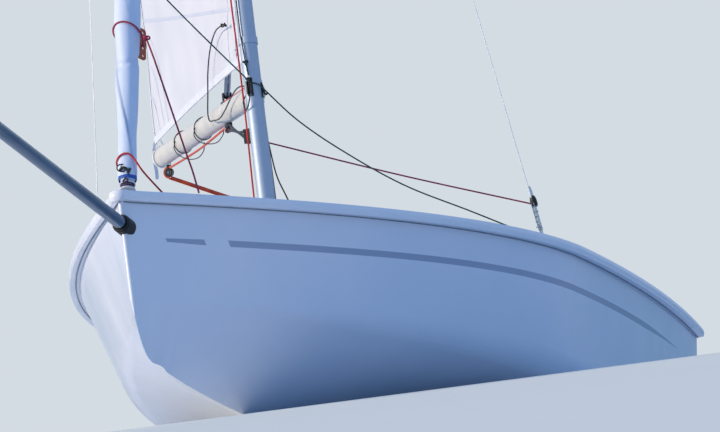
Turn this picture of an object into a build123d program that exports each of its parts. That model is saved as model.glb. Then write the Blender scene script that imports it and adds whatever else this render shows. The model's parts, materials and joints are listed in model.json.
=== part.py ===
from build123d import *
from math import cos, hypot, radians, sin, tan
import os

# A two-person sailing dinghy. Millimetres. +X is port, -Y is the bow, +Z is up.
# The origin is on the centreline, amidships, at the height of the waterline.

# Hull form
HULL_LENGTH = 4300
HALF_BEAM = 829
WIDEST_FROM_STEM = 2230
ENTRY_FULLNESS = 1.84
ENTRY_SHARPNESS = 1.04
TRANSOM_HALF_BEAM = 660
STEM_HALF_WIDTH = 9
FOREFOOT_RADIUS = 0.5
SHEER_AT_STEM = 496
SHEER_DROP = 60
DECK_CROWN = 26
GUNWALE_DEPTH = 32
GUNWALE_OVERHANG = 22
GUNWALE_BULGE = 5

# Hull sections. Columns: share of the length aft of the stem, breadth of the bilge corner as a
# share of the sheer's breadth, height of that corner, radius of the bilge, height of the keel
HULL_SECTIONS = [
    (0.000, 0.64, 150, 4, 92),
    (0.012, 0.57, 150, 12, 0),
    (0.030, 0.58, 150, 24, -40),
    (0.055, 0.60, 150, 38, -57),
    (0.090, 0.64, 147, 54, -77),
    (0.135, 0.69, 139, 72, -97),
    (0.190, 0.74, 127, 88, -116),
    (0.270, 0.79, 104, 104, -134),
    (0.400, 0.835, 66, 116, -149),
    (0.520, 0.855, 36, 120, -150),
    (0.680, 0.87, 22, 100, -134),
    (0.840, 0.89, 26, 74, -98),
    (1.000, 0.92, 40, 50, -52),
]
# The skin is lofted in lengths that meet at every third section
SECTIONS_PER_LENGTH = 3

# Cockpit well, open above, closed at the transom but for two drain ports. Its sides run up to a
# rolled edge and then out over the side decks
WELL_FRONT_Y = -600
TRANSOM_THICKNESS = 55
FLOOR_HEIGHT = 96
FLOOR_RADIUS = 45
ROLL_RADIUS = 60
ROLL_REACH = 130
ROLL_RISE = 34
WELL_OPEN_TO = 750
# Columns: distance aft of the well's front, half width at the floor, half width at the rolled edge
WELL_SECTIONS = [
    (0, 300, 345),
    (620, 470, 535),
    (1500, 440, 500),
    (HULL_LENGTH / 2 - WELL_FRONT_Y - TRANSOM_THICKNESS, 410, 460),
]
FLOOR_THICKNESS = 12
FLOOR_MARGIN = 50
FLOOR_END_GAP = 2
DRAIN_PORT_WIDTH = 300
DRAIN_PORT_HEIGHT = 170
DRAIN_PORT_OFFSET = 235
DRAIN_PORT_RADIUS = 30

# Daggerboard and its case
BOARD_CENTRE_Y = -60
BOARD_CHORD = 300
BOARD_TIP_CHORD = 200
BOARD_THICKNESS = 22
BOARD_TIP_THICKNESS = 13
BOARD_TIP_RAKE = 30
BOARD_TIP_DEPTH = 260
BOARD_DRAFT = 970
BOARD_ABOVE_CASE = 40
SLOT_CLEARANCE = 4
CASE_WALL = 14
CASE_TOP = 330
CASE_CORNER = 20
BOARD_CAP_LENGTH = 350
BOARD_CAP_WIDTH = 60
BOARD_CAP_HEIGHT = 36
BOARD_CAP_CORNER = 18
CAP_SEAT_GAP = 0.3

# Foils: a rounded nose, fullest at the end of the entry, then a straight run to a thin edge.
# Columns of the nose: share of the half thickness, share of the entry's length
FOIL_ENTRY = 0.4
FOIL_NOSE = [(1, 1), (0.8, 0.32), (0.4, 0.05)]
FOIL_EDGE = 3

# Bowsprit
POLE_EXIT_Z = 389
POLE_RISE = 9.5
POLE_RADIUS = 21
POLE_WALL = 2
POLE_OUTBOARD = 1330
POLE_INBOARD = 330
POLE_TRAVEL = 1150
POLE_CLEARANCE = 1
POLE_TUNNEL_SPARE = 60
COLLAR_RADIUS = 30
COLLAR_OUTBOARD = 14
COLLAR_LIP = 7
COLLAR_INBOARD = 40
COLLAR_ROUNDING = 4
COLLAR_CLEARANCE = 0.3
POLE_CAP_LENGTH = 30

# Mast, raked aft, with its foot on the deck
MAST_Y = -712
MAST_RAKE = 2.1
MAST_LENGTH = 6180
MAST_WIDTH = 58
MAST_DEPTH = 72
MAST_TOP_WIDTH = 44
MAST_TOP_DEPTH = 52
MAST_TAPER_START = 4300
TRACK_WIDTH = 13
TRACK_DEPTH = 7
TRACK_GROOVE = 5
TRACK_START = 600
STEP_HEIGHT = 24
STEP_LENGTH = 150
STEP_WIDTH = 96
STEP_CORNER = 12
HOUNDS_HEIGHT = 4520
BAND_THICKNESS = 3
# Bands round the mast. Columns: height of the middle above the mast's foot, height of the band
MAST_BANDS = [
    (710, 24),
    (HOUNDS_HEIGHT, 60),
]
SPREADER_HEIGHT = 2400
SPREADER_REACH = 490
SPREADER_SWEEP = 135
SPREADER_RADIUS = 11
SPREADER_TIP_RADIUS = 8
SPREADER_SOCKET_LENGTH = 46
SPREADER_SOCKET_RADIUS = 15
MASTHEAD_HEIGHT = 55
MASTHEAD_OVERHANG = 40
MASTHEAD_CORNER = 12

# Stays and what holds them
SHROUD_RADIUS = 1.5
FORESTAY_RADIUS = 2
CHAINPLATE_Y = -240
CHAINPLATE_INSET = 2
CHAINPLATE_WIDTH = 26
CHAINPLATE_THICKNESS = 5
CHAINPLATE_HEIGHT = 40
CHAINPLATE_CORNER = 8
CHAINPLATE_PIN_BELOW_TOP = 11
ADJUSTER_LENGTH = 98
ADJUSTER_WIDTH = 20
ADJUSTER_CORNER = 6
ADJUSTER_GAP = 6
ADJUSTER_PLATE = 2.5
ADJUSTER_END = 10
ADJUSTER_HOLES = 7
ADJUSTER_PIN_RADIUS = 3
ADJUSTER_PIN_HEAD = 2
SWAGE_RADIUS = 4
SWAGE_LENGTH = 45
STEM_FITTING_LENGTH = 90
STEM_FITTING_WIDTH = 30
STEM_FITTING_HEIGHT = 5
STEM_FITTING_CORNER = 10
STAY_BASE_HEIGHT = 8
STAY_BASE_LENGTH = 20
STAY_BASE_WIDTH = 22
STAY_BASE_CORNER = 6
FORESTAY_FOOT_FROM_STEM = 85
# How far a fitting is drawn into the deck before the deck trims its underside
DECK_GRIP = 20

# Furled jib on the forestay and the drum below it
DRUM_LIFT = 4
DRUM_HEIGHT = 27
DRUM_RADIUS = 25
DRUM_RIM = 4
DRUM_WAIST = 15
# Columns: distance up the stay, radius of the roll
JIB_ROLL = [
    (28, 14),
    (42, 26),
    (62, 32),
    (105, 30),
    (205, 29.5),
    (250, 32),
    (615, 43),
    (760, 41),
    (2400, 30),
    (4150, 15),
]
CLEW_BOARD_UP = 502
CLEW_BOARD_HEIGHT = 112
CLEW_BOARD_LENGTH = 42
CLEW_BOARD_THICKNESS = 5
CLEW_BOARD_CORNER = 10
CLEW_BOARD_TURN = 65
CLEW_BOARD_HOLES = 4
CLEW_BOARD_HOLE_RADIUS = 5
CLEW_BOARD_HOLE_IN = 12
CLEW_BOARD_BITE = 2

# Boom, eased to starboard, and the mainsail on it
GOOSENECK_UP = 545
GOOSENECK_OFFSET = 50
GOOSENECK_PIN_RADIUS = 5
GOOSENECK_PIN_SPARE = 4
GOOSENECK_BARREL_RADIUS = 9
GOOSENECK_WIDTH = 28
GOOSENECK_HEIGHT = 80
GOOSENECK_LUG = 10
GOOSENECK_LUG_GAP = 1
GOOSENECK_PLATE = 2
GOOSENECK_BITE = 6
TOGGLE_ARM_WIDTH = 14
TOGGLE_ARM_DEPTH = 28
TOGGLE_ARM_IN_BOOM = 40
PIN_CLEARANCE = 0.3
BOOM_EASED = 27.9
BOOM_RISE = 8.6
BOOM_LENGTH = 2480
BOOM_DEPTH = 75
BOOM_WIDTH = 60
BOOM_END_CAP = 30
BOOM_END_CAP_TAPER = 0.86
BOOM_START = 38
SAIL_THICKNESS = 3
SAIL_LUFF_GAP = 0.3
SAIL_BELOW_MASTHEAD = 290
TACK_UP = 130
CLEW_FROM_BOOM_END = 110
FOOT_TWIST = 0.5
FOOT_CAMBER = 0.006
DEEPEST_AT = 0.42
CLEW_LIFT = 12
CLEW_STRAP_WIDTH = 22
CLEW_STRAP_THICKNESS = 2
CLEW_STRAP_RISE = 24
# Sail sections above the foot. Columns: height up the luff as a share of it, chord as a share of
# the foot, rise of the leech above the luff, twist to leeward in degrees, camber as a share of
# the chord
SAIL_SECTIONS = [
    (0.260, 0.875, 330, 1.5, 0.035),
    (0.540, 0.680, 250, 4, 0.06),
    (0.800, 0.430, 140, 7, 0.06),
    (1.000, 0.150, 40, 9, 0.04),
]
BLOCK_CHEEK = 3
SHEAVE_WIDTH = 9
SHEAVE_IN = 4
BLOCK_STRAP_WIDTH = 16
BLOCK_BITE = 2
# Blocks under the boom. Columns: node, distance out along the boom, radius, drop below the boom
BOOM_BLOCKS = [
    ("boom_end_block", BOOM_LENGTH - 220, 20, 14),
    ("boom_mid_block", 750, 13, 4),
]
# Strut that holds the boom down, from a car on the boom's top to the after side of the mast
STRUT_OUT = 800
STRUT_UP = 750
STRUT_RADIUS = 11
STRUT_SIDE = 15
STRUT_FROM_PIN = 30
CAR_LENGTH = 76
CAR_WIDTH = 56
CAR_HEIGHT = 22
CAR_CORNER = 8

# Small deck gear
CLEAT_BITE = 4
# Cleats on the mast. Columns: angle round it from its front towards port, height of the lower end
# above the mast's foot, width, height, depth
MAST_CLEATS = [
    (0, 515, 21, 60, 16),
    (90, 513, 12, 52, 14),
    (-90, 366, 22, 46, 20),
]
HATCH_RADIUS = 72
HATCH_THICKNESS = 10
HATCH_OFFSET = 185
HATCH_Z = 280
FAIRLEAD_Y = -330
FAIRLEAD_OFFSET = 620
FAIRLEAD_LENGTH = 70
FAIRLEAD_WIDTH = 40
FAIRLEAD_HEIGHT = 32
SHEET_BASE_Y = 260
SHEET_BASE_RADIUS = 46
SHEET_BASE_HEIGHT = 34
SHEET_BASE_TOP_RADIUS = 28
FAIRLEAD_CORNER = 10
FAIRLEAD_EYE_RADIUS = 7
BRIDLE_EYE_LIFT = 4
BRIDLE_EYE_OFFSET = 520
BRIDLE_EYE_INBOARD = 30
BRIDLE_EYE_RADIUS = 12
BRIDLE_EYE_WIRE = 3
STRAP_OFFSET = 170
STRAP_WIDTH = 50
STRAP_THICKNESS = 3
STRAP_Z = 150

# Rudder
GUDGEON_Z = (60, 330)
GUDGEON_THICKNESS = 8
GUDGEON_PLATE_WIDTH = 40
GUDGEON_PLATE_HEIGHT = 50
GUDGEON_PLATE_THICKNESS = 4
GUDGEON_LUG_WIDTH = 28
GUDGEON_BEYOND_PIN = 7
PIN_OFFSET = 34
PIN_RADIUS = 4
PIN_BEYOND_GUDGEON = 12
STOCK_LENGTH = 190
STOCK_CHEEK = 8
STOCK_BOTTOM = -20
STOCK_TOP = 532
STOCK_FRONT = 22
STOCK_CORNER = 24
STOCK_SPINE = 12
STOCK_HEAD = 70
STOCK_LUG_WIDTH = 18
STOCK_LUG_HEIGHT = 12
STOCK_LUG_OFFSET = 12
LIGHTENING_HOLE_RADIUS = 30
LIGHTENING_HOLE_Z = 290
TILLER_Z = 500
TILLER_CLIMB = 60
TILLER_HEEL = 60
RUDDER_THICKNESS = 20
RUDDER_TIP_THICKNESS = 12
RUDDER_TIP_RAKE = 20
RUDDER_SHOULDER_Z = -60
RUDDER_CHORD = 170
RUDDER_TIP_CHORD = 130
RUDDER_DEPTH = 620
BLADE_PIVOT_Z = 130
BLADE_PIVOT_AFT = 10
BLADE_PIVOT_RADIUS = 8
BLADE_BOLT_HEAD = 5
BLADE_CLEARANCE = 1
TILLER_LENGTH = 900
TILLER_RADIUS = 16
EXTENSION_LENGTH = 900
EXTENSION_RADIUS = 9
EXTENSION_FROM_HEAD = 20
EXTENSION_FALL = 40
EXTENSION_BITE = 2

# Length of a cutting tool past the faces that it goes through
CUT_SPARE = 40

STEM_Y = -HULL_LENGTH / 2
TRANSOM_Y = HULL_LENGTH / 2
FOOT_LENGTH = BOOM_LENGTH - CLEW_FROM_BOOM_END
LUFF_LENGTH = MAST_LENGTH - GOOSENECK_UP - SAIL_BELOW_MASTHEAD


def half_breadth(d):
    """Half breadth of the hull at the sheer, d aft of the stem."""
    if d <= WIDEST_FROM_STEM:
        ahead = 1 - max(d, 0) / WIDEST_FROM_STEM
        shape = (1 - ahead ** ENTRY_FULLNESS) ** ENTRY_SHARPNESS
        return max(STEM_HALF_WIDTH, HALF_BEAM * shape)
    aft = (d - WIDEST_FROM_STEM) / (HULL_LENGTH - WIDEST_FROM_STEM)
    return HALF_BEAM - (HALF_BEAM - TRANSOM_HALF_BEAM) * aft ** 2


def sheer_height(d):
    """Height of the gunwale's top edge, a line that flattens out aft."""
    share = d / HULL_LENGTH
    return SHEER_AT_STEM - SHEER_DROP * share * (2 - share)


def gunwale_edge(d):
    return half_breadth(d) + GUNWALE_OVERHANG


def crown(d):
    """Rise of the deck's middle above its edges, less where the deck is narrow."""
    return DECK_CROWN * (gunwale_edge(d) / (HALF_BEAM + GUNWALE_OVERHANG)) ** 2


def deck_height(x, y):
    """Height of the crowned deck at a place on it."""
    d = y - STEM_Y
    return sheer_height(d) + crown(d) * (1 - (x / gunwale_edge(d)) ** 2)


def together(shapes):
    """One shape of several."""
    total = shapes[0]
    for shape in shapes[1:]:
        total = total + shape
    return total


def box_between(low, high):
    size = [b - a for a, b in zip(low, high)]
    centre = [(a + b) / 2 for a, b in zip(low, high)]
    return Pos(*centre) * Box(*size)


def rounded_box(low, high, axis, radius):
    """A box with its four edges along one axis rounded."""
    body = box_between(low, high)
    return fillet(body.edges().filter_by(axis), radius)


def rod(start, end, radius):
    """A round bar from one point to another."""
    start, end = Vector(*start), Vector(*end)
    along = end - start
    return Solid.make_cylinder(radius, along.length, Plane(origin=start, z_dir=along.normalized()))


def taper(start, end, start_radius, end_radius):
    """A round bar that narrows from one point to another."""
    start, end = Vector(*start), Vector(*end)
    along = end - start
    place = Plane(origin=start, z_dir=along.normalized())
    return Solid.make_cone(start_radius, end_radius, along.length, place)


def rounded_section(y, corners):
    """A closed wire across the boat; each corner is x, z and a radius, 0 for a sharp one."""
    points = []
    for i, (x, z, r) in enumerate(corners):
        here = Vector(x, y, z)
        if r == 0:
            points.append((here, None, here))
            continue
        x0, z0, _ = corners[i - 1]
        x1, z1, _ = corners[(i + 1) % len(corners)]
        back = (Vector(x0, y, z0) - here).normalized()
        on = (Vector(x1, y, z1) - here).normalized()
        half_angle = radians(back.get_angle(on)) / 2
        reach = r / tan(half_angle)
        middle = here + (back + on).normalized() * (r / sin(half_angle) - r)
        points.append((here + back * reach, middle, here + on * reach))
    edges = []
    for i, (start, middle, end) in enumerate(points):
        if middle is not None:
            edges.append(ThreePointArc(start, middle, end))
        edges.append(Line(end, points[(i + 1) % len(points)][0]))
    return Wire(edges)


def loft_in_lengths(wires):
    """Smooth lofts that share their end sections, fused into one form."""
    lengths = []
    for first in range(0, len(wires) - 1, SECTIONS_PER_LENGTH):
        lengths.append(Solid.make_loft(wires[first:first + SECTIONS_PER_LENGTH + 1]))
    return lengths[0].fuse(*lengths[1:])


def section_distance(share):
    """The first section stands one stem radius aft, where the round of the stem ends."""
    return max(share * HULL_LENGTH, STEM_HALF_WIDTH)


def hull_section(share, corner_share, corner_z, radius, keel_z):
    """A V bottom, a soft bilge and a nearly upright topside."""
    d = section_distance(share)
    side = half_breadth(d)
    top = sheer_height(d)
    corners = [
        (0, keel_z, 0),
        (side * corner_share, corner_z, radius),
        (side, top, 0),
        (-side, top, 0),
        (-side * corner_share, corner_z, radius),
    ]
    return rounded_section(STEM_Y + d, corners)


def hull_form():
    """The skin's form, with the stem rounded on its own half breadth."""
    body = loft_in_lengths([hull_section(*row) for row in HULL_SECTIONS])
    y = STEM_Y + STEM_HALF_WIDTH
    _, _, knuckle, _, keel = HULL_SECTIONS[0]
    stem = rod((0, y, knuckle), (0, y, sheer_height(0) - GUNWALE_DEPTH / 2), half_breadth(STEM_HALF_WIDTH))
    forefoot = taper((0, y, keel), (0, y, knuckle), FOREFOOT_RADIUS, half_breadth(STEM_HALF_WIDTH))
    return body.fuse(stem, forefoot)


def deck_side(side, y, bottom, top):
    """The gunwale's rolled side, from its lower edge to the deck."""
    middle = (side + GUNWALE_BULGE, y, (bottom + top) / 2)
    return ThreePointArc((side, y, bottom), middle, (side, y, top))


def deck_section(share):
    d = section_distance(share)
    side = gunwale_edge(d)
    top = sheer_height(d)
    bottom = top - GUNWALE_DEPTH
    y = STEM_Y + d
    port = deck_side(side, y, bottom, top)
    middle = (-side - GUNWALE_BULGE, y, (bottom + top) / 2)
    return Wire([
        Line((-side, y, bottom), (side, y, bottom)),
        port,
        ThreePointArc((side, y, top), (0, y, top + crown(d)), (-side, y, top)),
        ThreePointArc((-side, y, top), middle, (-side, y, bottom)),
    ])


def deck_nose():
    """The gunwale's half round about the stem, turned from the first section's half."""
    d = STEM_HALF_WIDTH
    side = gunwale_edge(d)
    top = sheer_height(d)
    bottom = top - GUNWALE_DEPTH
    y = STEM_Y + d
    half_section = make_face(Wire([
        Line((0, y, bottom), (side, y, bottom)),
        deck_side(side, y, bottom, top),
        Line((side, y, top), (0, y, top + crown(d))),
        Line((0, y, top + crown(d)), (0, y, bottom)),
    ]))
    return revolve(half_section, Axis((0, y, 0), (0, 0, 1)), -180).solid()


def deck_form():
    body = loft_in_lengths([deck_section(share) for share, *_ in HULL_SECTIONS])
    return body.fuse(deck_nose())


def well_section(aft, floor_half, edge_half):
    """The well across the boat: floor, side, rolled edge and a flat run out over the side deck."""
    y = WELL_FRONT_Y + aft
    edge_z = sheer_height(y - STEM_Y) - GUNWALE_DEPTH / 2
    out = edge_half + ROLL_REACH
    port = [
        (floor_half, FLOOR_HEIGHT, FLOOR_RADIUS),
        (edge_half, edge_z, ROLL_RADIUS),
        (out, edge_z + ROLL_RISE + DECK_CROWN, 0),
        (out, WELL_OPEN_TO, 0),
    ]
    starboard = [(-x, z, r) for x, z, r in reversed(port)]
    return rounded_section(y, port + starboard)


def well_form():
    return Solid.make_loft([well_section(*row) for row in WELL_SECTIONS], ruled=True)


def foil(chord, thickness, z, centre_y):
    """A symmetric foil's outline, round nose forward, drawn level at height z."""
    nose = centre_y - chord / 2
    tail = centre_y + chord / 2
    entry = chord * FOIL_ENTRY
    half = thickness / 2
    port = [(half * out, nose + entry * back, z) for out, back in FOIL_NOSE]
    starboard = [(-x, y, z) for x, y, z in port]
    return Wire([
        ThreePointArc(*port),
        ThreePointArc(port[2], (0, nose, z), starboard[2]),
        ThreePointArc(*reversed(starboard)),
        Line(starboard[0], (-FOIL_EDGE / 2, tail, z)),
        Line((-FOIL_EDGE / 2, tail, z), (FOIL_EDGE / 2, tail, z)),
        Line((FOIL_EDGE / 2, tail, z), port[0]),
    ])


# Frames that the rig and the bowsprit are placed in
MAST_FOOT_Z = deck_height(0, MAST_Y) + STEP_HEIGHT
MAST_FRAME = Location((0, MAST_Y, MAST_FOOT_Z), (-MAST_RAKE, 0, 0))
SWING_FRAME = MAST_FRAME * Location((0, GOOSENECK_OFFSET, GOOSENECK_UP), (0, 0, BOOM_EASED))
BOOM_FRAME = SWING_FRAME * Location((0, 0, 0), (BOOM_RISE, 0, 0))
POLE_FRAME = Location((0, STEM_Y, POLE_EXIT_Z), (-POLE_RISE, 0, 0))


def in_frame(frame, x, y, z):
    return (frame * Location((x, y, z))).position


HOUNDS = in_frame(MAST_FRAME, 0, 0, HOUNDS_HEIGHT)
FORESTAY_FOOT_Y = STEM_Y + FORESTAY_FOOT_FROM_STEM
FORESTAY_FOOT = Vector(0, FORESTAY_FOOT_Y,
                       deck_height(0, FORESTAY_FOOT_Y) + STEM_FITTING_HEIGHT + STAY_BASE_HEIGHT)
STAY_LINE = (HOUNDS - FORESTAY_FOOT).normalized()
STAY_FRAME = Plane(origin=FORESTAY_FOOT, x_dir=(1, 0, 0), z_dir=STAY_LINE).location


def along_pole(start, end, radius):
    """A round bar on the bowsprit's line, measured aft from the stem."""
    return rod(in_frame(POLE_FRAME, 0, start, 0), in_frame(POLE_FRAME, 0, end, 0), radius)


def collar_seat():
    return along_pole(-COLLAR_OUTBOARD, COLLAR_INBOARD, COLLAR_RADIUS)


def board_slot():
    half_width = BOARD_THICKNESS / 2 + SLOT_CLEARANCE
    half_length = BOARD_CHORD / 2 + SLOT_CLEARANCE
    return box_between((-half_width, BOARD_CENTRE_Y - half_length, -BOARD_DRAFT),
                       (half_width, BOARD_CENTRE_Y + half_length, CASE_TOP + CUT_SPARE))


def drain_port(side):
    floor_z = FLOOR_HEIGHT + FLOOR_THICKNESS
    centre_x = side * DRAIN_PORT_OFFSET
    half_width = DRAIN_PORT_WIDTH / 2
    return rounded_box((centre_x - half_width, TRANSOM_Y - TRANSOM_THICKNESS - CUT_SPARE, floor_z),
                       (centre_x + half_width, TRANSOM_Y + CUT_SPARE, floor_z + DRAIN_PORT_HEIGHT),
                       Axis.Y, DRAIN_PORT_RADIUS)


def hull():
    """The glass-fibre hull, solid where no inside shows."""
    tunnel_end = POLE_INBOARD + POLE_TRAVEL + POLE_TUNNEL_SPARE
    tunnel = along_pole(-CUT_SPARE, tunnel_end, POLE_RADIUS + POLE_CLEARANCE)
    body = hull_form() - deck_form() - well_form() - board_slot() - tunnel - collar_seat()
    for side in (1, -1):
        body = body - drain_port(side)
    return body


def deck():
    return deck_form() - well_form()


def bow_collar():
    """A rubber ring round the bowsprit, its face stepped like two rings, one inside the other."""
    bore = POLE_RADIUS + COLLAR_CLEARANCE
    face = -COLLAR_OUTBOARD
    shoulder = COLLAR_RADIUS - COLLAR_ROUNDING
    diagonal = COLLAR_ROUNDING * sin(radians(45))
    corner = (shoulder + diagonal, face + COLLAR_ROUNDING - diagonal)
    half_section = make_face(Wire([
        Line((bore, face - COLLAR_LIP), (shoulder, face - COLLAR_LIP)),
        Line((shoulder, face - COLLAR_LIP), (shoulder, face)),
        ThreePointArc((shoulder, face), corner, (COLLAR_RADIUS, face + COLLAR_ROUNDING)),
        Line((COLLAR_RADIUS, face + COLLAR_ROUNDING), (COLLAR_RADIUS, COLLAR_INBOARD)),
        Line((COLLAR_RADIUS, COLLAR_INBOARD), (bore, COLLAR_INBOARD)),
        Line((bore, COLLAR_INBOARD), (bore, face - COLLAR_LIP)),
    ]))
    return POLE_FRAME * revolve(half_section, Axis.Y)


def cockpit_floor():
    """A panel laid on the well's bottom, clear of its rounded lower corners."""
    corners = [(floor_half - FLOOR_MARGIN, WELL_FRONT_Y + aft) for aft, floor_half, _ in WELL_SECTIONS]
    corners[0] = (corners[0][0], corners[0][1] + FLOOR_END_GAP)
    corners[-1] = (corners[-1][0], corners[-1][1] - FLOOR_END_GAP)
    outline = corners + [(-x, y) for x, y in reversed(corners)]
    face = make_face(Polyline([(x, y, FLOOR_HEIGHT) for x, y in outline], close=True))
    return extrude(face, FLOOR_THICKNESS, dir=(0, 0, 1)) - board_slot()


def daggerboard_case():
    half_width = BOARD_THICKNESS / 2 + SLOT_CLEARANCE + CASE_WALL
    half_length = BOARD_CHORD / 2 + SLOT_CLEARANCE + CASE_WALL
    body = rounded_box((-half_width, BOARD_CENTRE_Y - half_length, FLOOR_HEIGHT + FLOOR_THICKNESS),
                       (half_width, BOARD_CENTRE_Y + half_length, CASE_TOP), Axis.Z, CASE_CORNER)
    return body - board_slot()


def daggerboard():
    return Solid.make_loft([
        foil(BOARD_TIP_CHORD, BOARD_TIP_THICKNESS, -BOARD_DRAFT, BOARD_CENTRE_Y + BOARD_TIP_RAKE),
        foil(BOARD_CHORD, BOARD_THICKNESS, BOARD_TIP_DEPTH - BOARD_DRAFT, BOARD_CENTRE_Y),
        foil(BOARD_CHORD, BOARD_THICKNESS, CASE_TOP + BOARD_ABOVE_CASE, BOARD_CENTRE_Y),
    ], ruled=True)


def board_cap():
    low = CASE_TOP + CAP_SEAT_GAP
    body = rounded_box((-BOARD_CAP_WIDTH / 2, BOARD_CENTRE_Y - BOARD_CAP_LENGTH / 2, low),
                       (BOARD_CAP_WIDTH / 2, BOARD_CENTRE_Y + BOARD_CAP_LENGTH / 2, low + BOARD_CAP_HEIGHT),
                       Axis.Z, BOARD_CAP_CORNER)
    return body - daggerboard()


def bowsprit():
    pole = along_pole(-POLE_OUTBOARD, POLE_INBOARD, POLE_RADIUS)
    return pole - along_pole(-POLE_OUTBOARD, POLE_INBOARD, POLE_RADIUS - POLE_WALL)


def bowsprit_cap():
    """The plugs in the pole's two ends; the outboard one has a head as wide as the pole."""
    bore = POLE_RADIUS - POLE_WALL
    head = along_pole(-POLE_OUTBOARD - POLE_CAP_LENGTH, -POLE_OUTBOARD, POLE_RADIUS)
    outer_plug = along_pole(-POLE_OUTBOARD, -POLE_OUTBOARD + POLE_CAP_LENGTH, bore)
    inner_plug = along_pole(POLE_INBOARD - POLE_CAP_LENGTH, POLE_INBOARD, bore)
    return head + outer_plug + inner_plug


def mast_section(z, width, depth, grow):
    """An oval section whose after side stays on one straight line up the mast."""
    edges = Ellipse(width / 2 + grow, depth / 2 + grow).edges()
    return Wire([Pos(0, (MAST_DEPTH - depth) / 2, z) * edge for edge in edges])


def mast_form(grow=0):
    return Solid.make_loft([
        mast_section(0, MAST_WIDTH, MAST_DEPTH, grow),
        mast_section(MAST_TAPER_START, MAST_WIDTH, MAST_DEPTH, grow),
        mast_section(MAST_LENGTH, MAST_TOP_WIDTH, MAST_TOP_DEPTH, grow),
    ], ruled=True)


def luff_track(width, start_y):
    """A square bar up the mast's after side."""
    end_y = MAST_DEPTH / 2 + TRACK_DEPTH
    return box_between((-width / 2, start_y, TRACK_START), (width / 2, end_y, MAST_LENGTH))


def mast():
    """The tapered tube, with the grooved track that the sail's luff slides in."""
    groove = luff_track(TRACK_GROOVE, MAST_DEPTH / 2)
    return MAST_FRAME * (mast_form() + luff_track(TRACK_WIDTH, 0) - groove)


def mast_bands():
    """Close bands round the mast, open at the track: a low one, and the one that holds the stays."""
    sleeve = mast_form(BAND_THICKNESS) - mast_form() - luff_track(TRACK_WIDTH, 0)
    reach = MAST_DEPTH
    bands = []
    for up, height in MAST_BANDS:
        low, high = up - height / 2, up + height / 2
        bands.append(sleeve & box_between((-reach, -reach, low), (reach, reach, high)))
    return MAST_FRAME * together(bands)


def mast_step():
    body = rounded_box((-STEP_WIDTH / 2, -STEP_LENGTH / 2, -STEP_HEIGHT),
                       (STEP_WIDTH / 2, STEP_LENGTH / 2, 0), Axis.Z, STEP_CORNER)
    return MAST_FRAME * body - deck_form()


def masthead():
    after = MAST_DEPTH / 2
    body = rounded_box((-MAST_TOP_WIDTH / 2, after - MAST_TOP_DEPTH, MAST_LENGTH),
                       (MAST_TOP_WIDTH / 2, after + MASTHEAD_OVERHANG, MAST_LENGTH + MASTHEAD_HEIGHT),
                       Axis.X, MASTHEAD_CORNER)
    return MAST_FRAME * body


def spreader_tip(side):
    return in_frame(MAST_FRAME, side * SPREADER_REACH, SPREADER_SWEEP, SPREADER_HEIGHT)


def spreaders():
    """Two tapered arms, each in a socket on the mast's side."""
    root = in_frame(MAST_FRAME, 0, 0, SPREADER_HEIGHT)
    arms = []
    for side in (1, -1):
        tip = spreader_tip(side)
        socket_end = root + (tip - root).normalized() * (MAST_WIDTH / 2 + SPREADER_SOCKET_LENGTH)
        arms.append(taper(root, tip, SPREADER_RADIUS, SPREADER_TIP_RADIUS))
        arms.append(rod(root, socket_end, SPREADER_SOCKET_RADIUS))
    return together(arms) - mast()


def chainplate_foot(side):
    x = half_breadth(CHAINPLATE_Y - STEM_Y) - CHAINPLATE_INSET
    return Vector(side * x, CHAINPLATE_Y, deck_height(x, CHAINPLATE_Y))


def shroud_frame(side):
    """A frame on the chainplate whose Z runs up the shroud and whose X is athwart."""
    foot = chainplate_foot(side)
    up = (spreader_tip(side) - foot).normalized()
    return Plane(origin=foot, x_dir=Vector(0, 1, 0).cross(up).normalized(), z_dir=up).location


def adjuster_hole(index, radius):
    """One of the row of holes up the adjuster; the first takes the chainplate's pin."""
    pitch = (ADJUSTER_LENGTH - 2 * ADJUSTER_END) / (ADJUSTER_HOLES - 1)
    z = CHAINPLATE_HEIGHT - CHAINPLATE_PIN_BELOW_TOP + index * pitch
    reach = ADJUSTER_GAP / 2 + ADJUSTER_PLATE + ADJUSTER_PIN_HEAD
    return rod((-reach, 0, z), (reach, 0, z), radius)


def chainplate(side):
    body = rounded_box((-CHAINPLATE_THICKNESS / 2, -CHAINPLATE_WIDTH / 2, -DECK_GRIP),
                       (CHAINPLATE_THICKNESS / 2, CHAINPLATE_WIDTH / 2, CHAINPLATE_HEIGHT),
                       Axis.X, CHAINPLATE_CORNER)
    body = body - adjuster_hole(0, ADJUSTER_PIN_RADIUS + PIN_CLEARANCE)
    return shroud_frame(side) * body - deck_form()


def shroud_adjuster(side):
    """Two plates with a row of holes, pinned to the chainplate below and the shroud above."""
    start = CHAINPLATE_HEIGHT - CHAINPLATE_PIN_BELOW_TOP - ADJUSTER_END
    inner = ADJUSTER_GAP / 2
    plate = rounded_box((inner, -ADJUSTER_WIDTH / 2, start),
                        (inner + ADJUSTER_PLATE, ADJUSTER_WIDTH / 2, start + ADJUSTER_LENGTH),
                        Axis.X, ADJUSTER_CORNER)
    plates = plate + plate.mirror(Plane.YZ)
    for index in range(1, ADJUSTER_HOLES - 1):
        plates = plates - adjuster_hole(index, ADJUSTER_PIN_RADIUS)
    pins = [adjuster_hole(index, ADJUSTER_PIN_RADIUS) for index in (0, ADJUSTER_HOLES - 1)]
    return shroud_frame(side) * together([plates] + pins)


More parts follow.
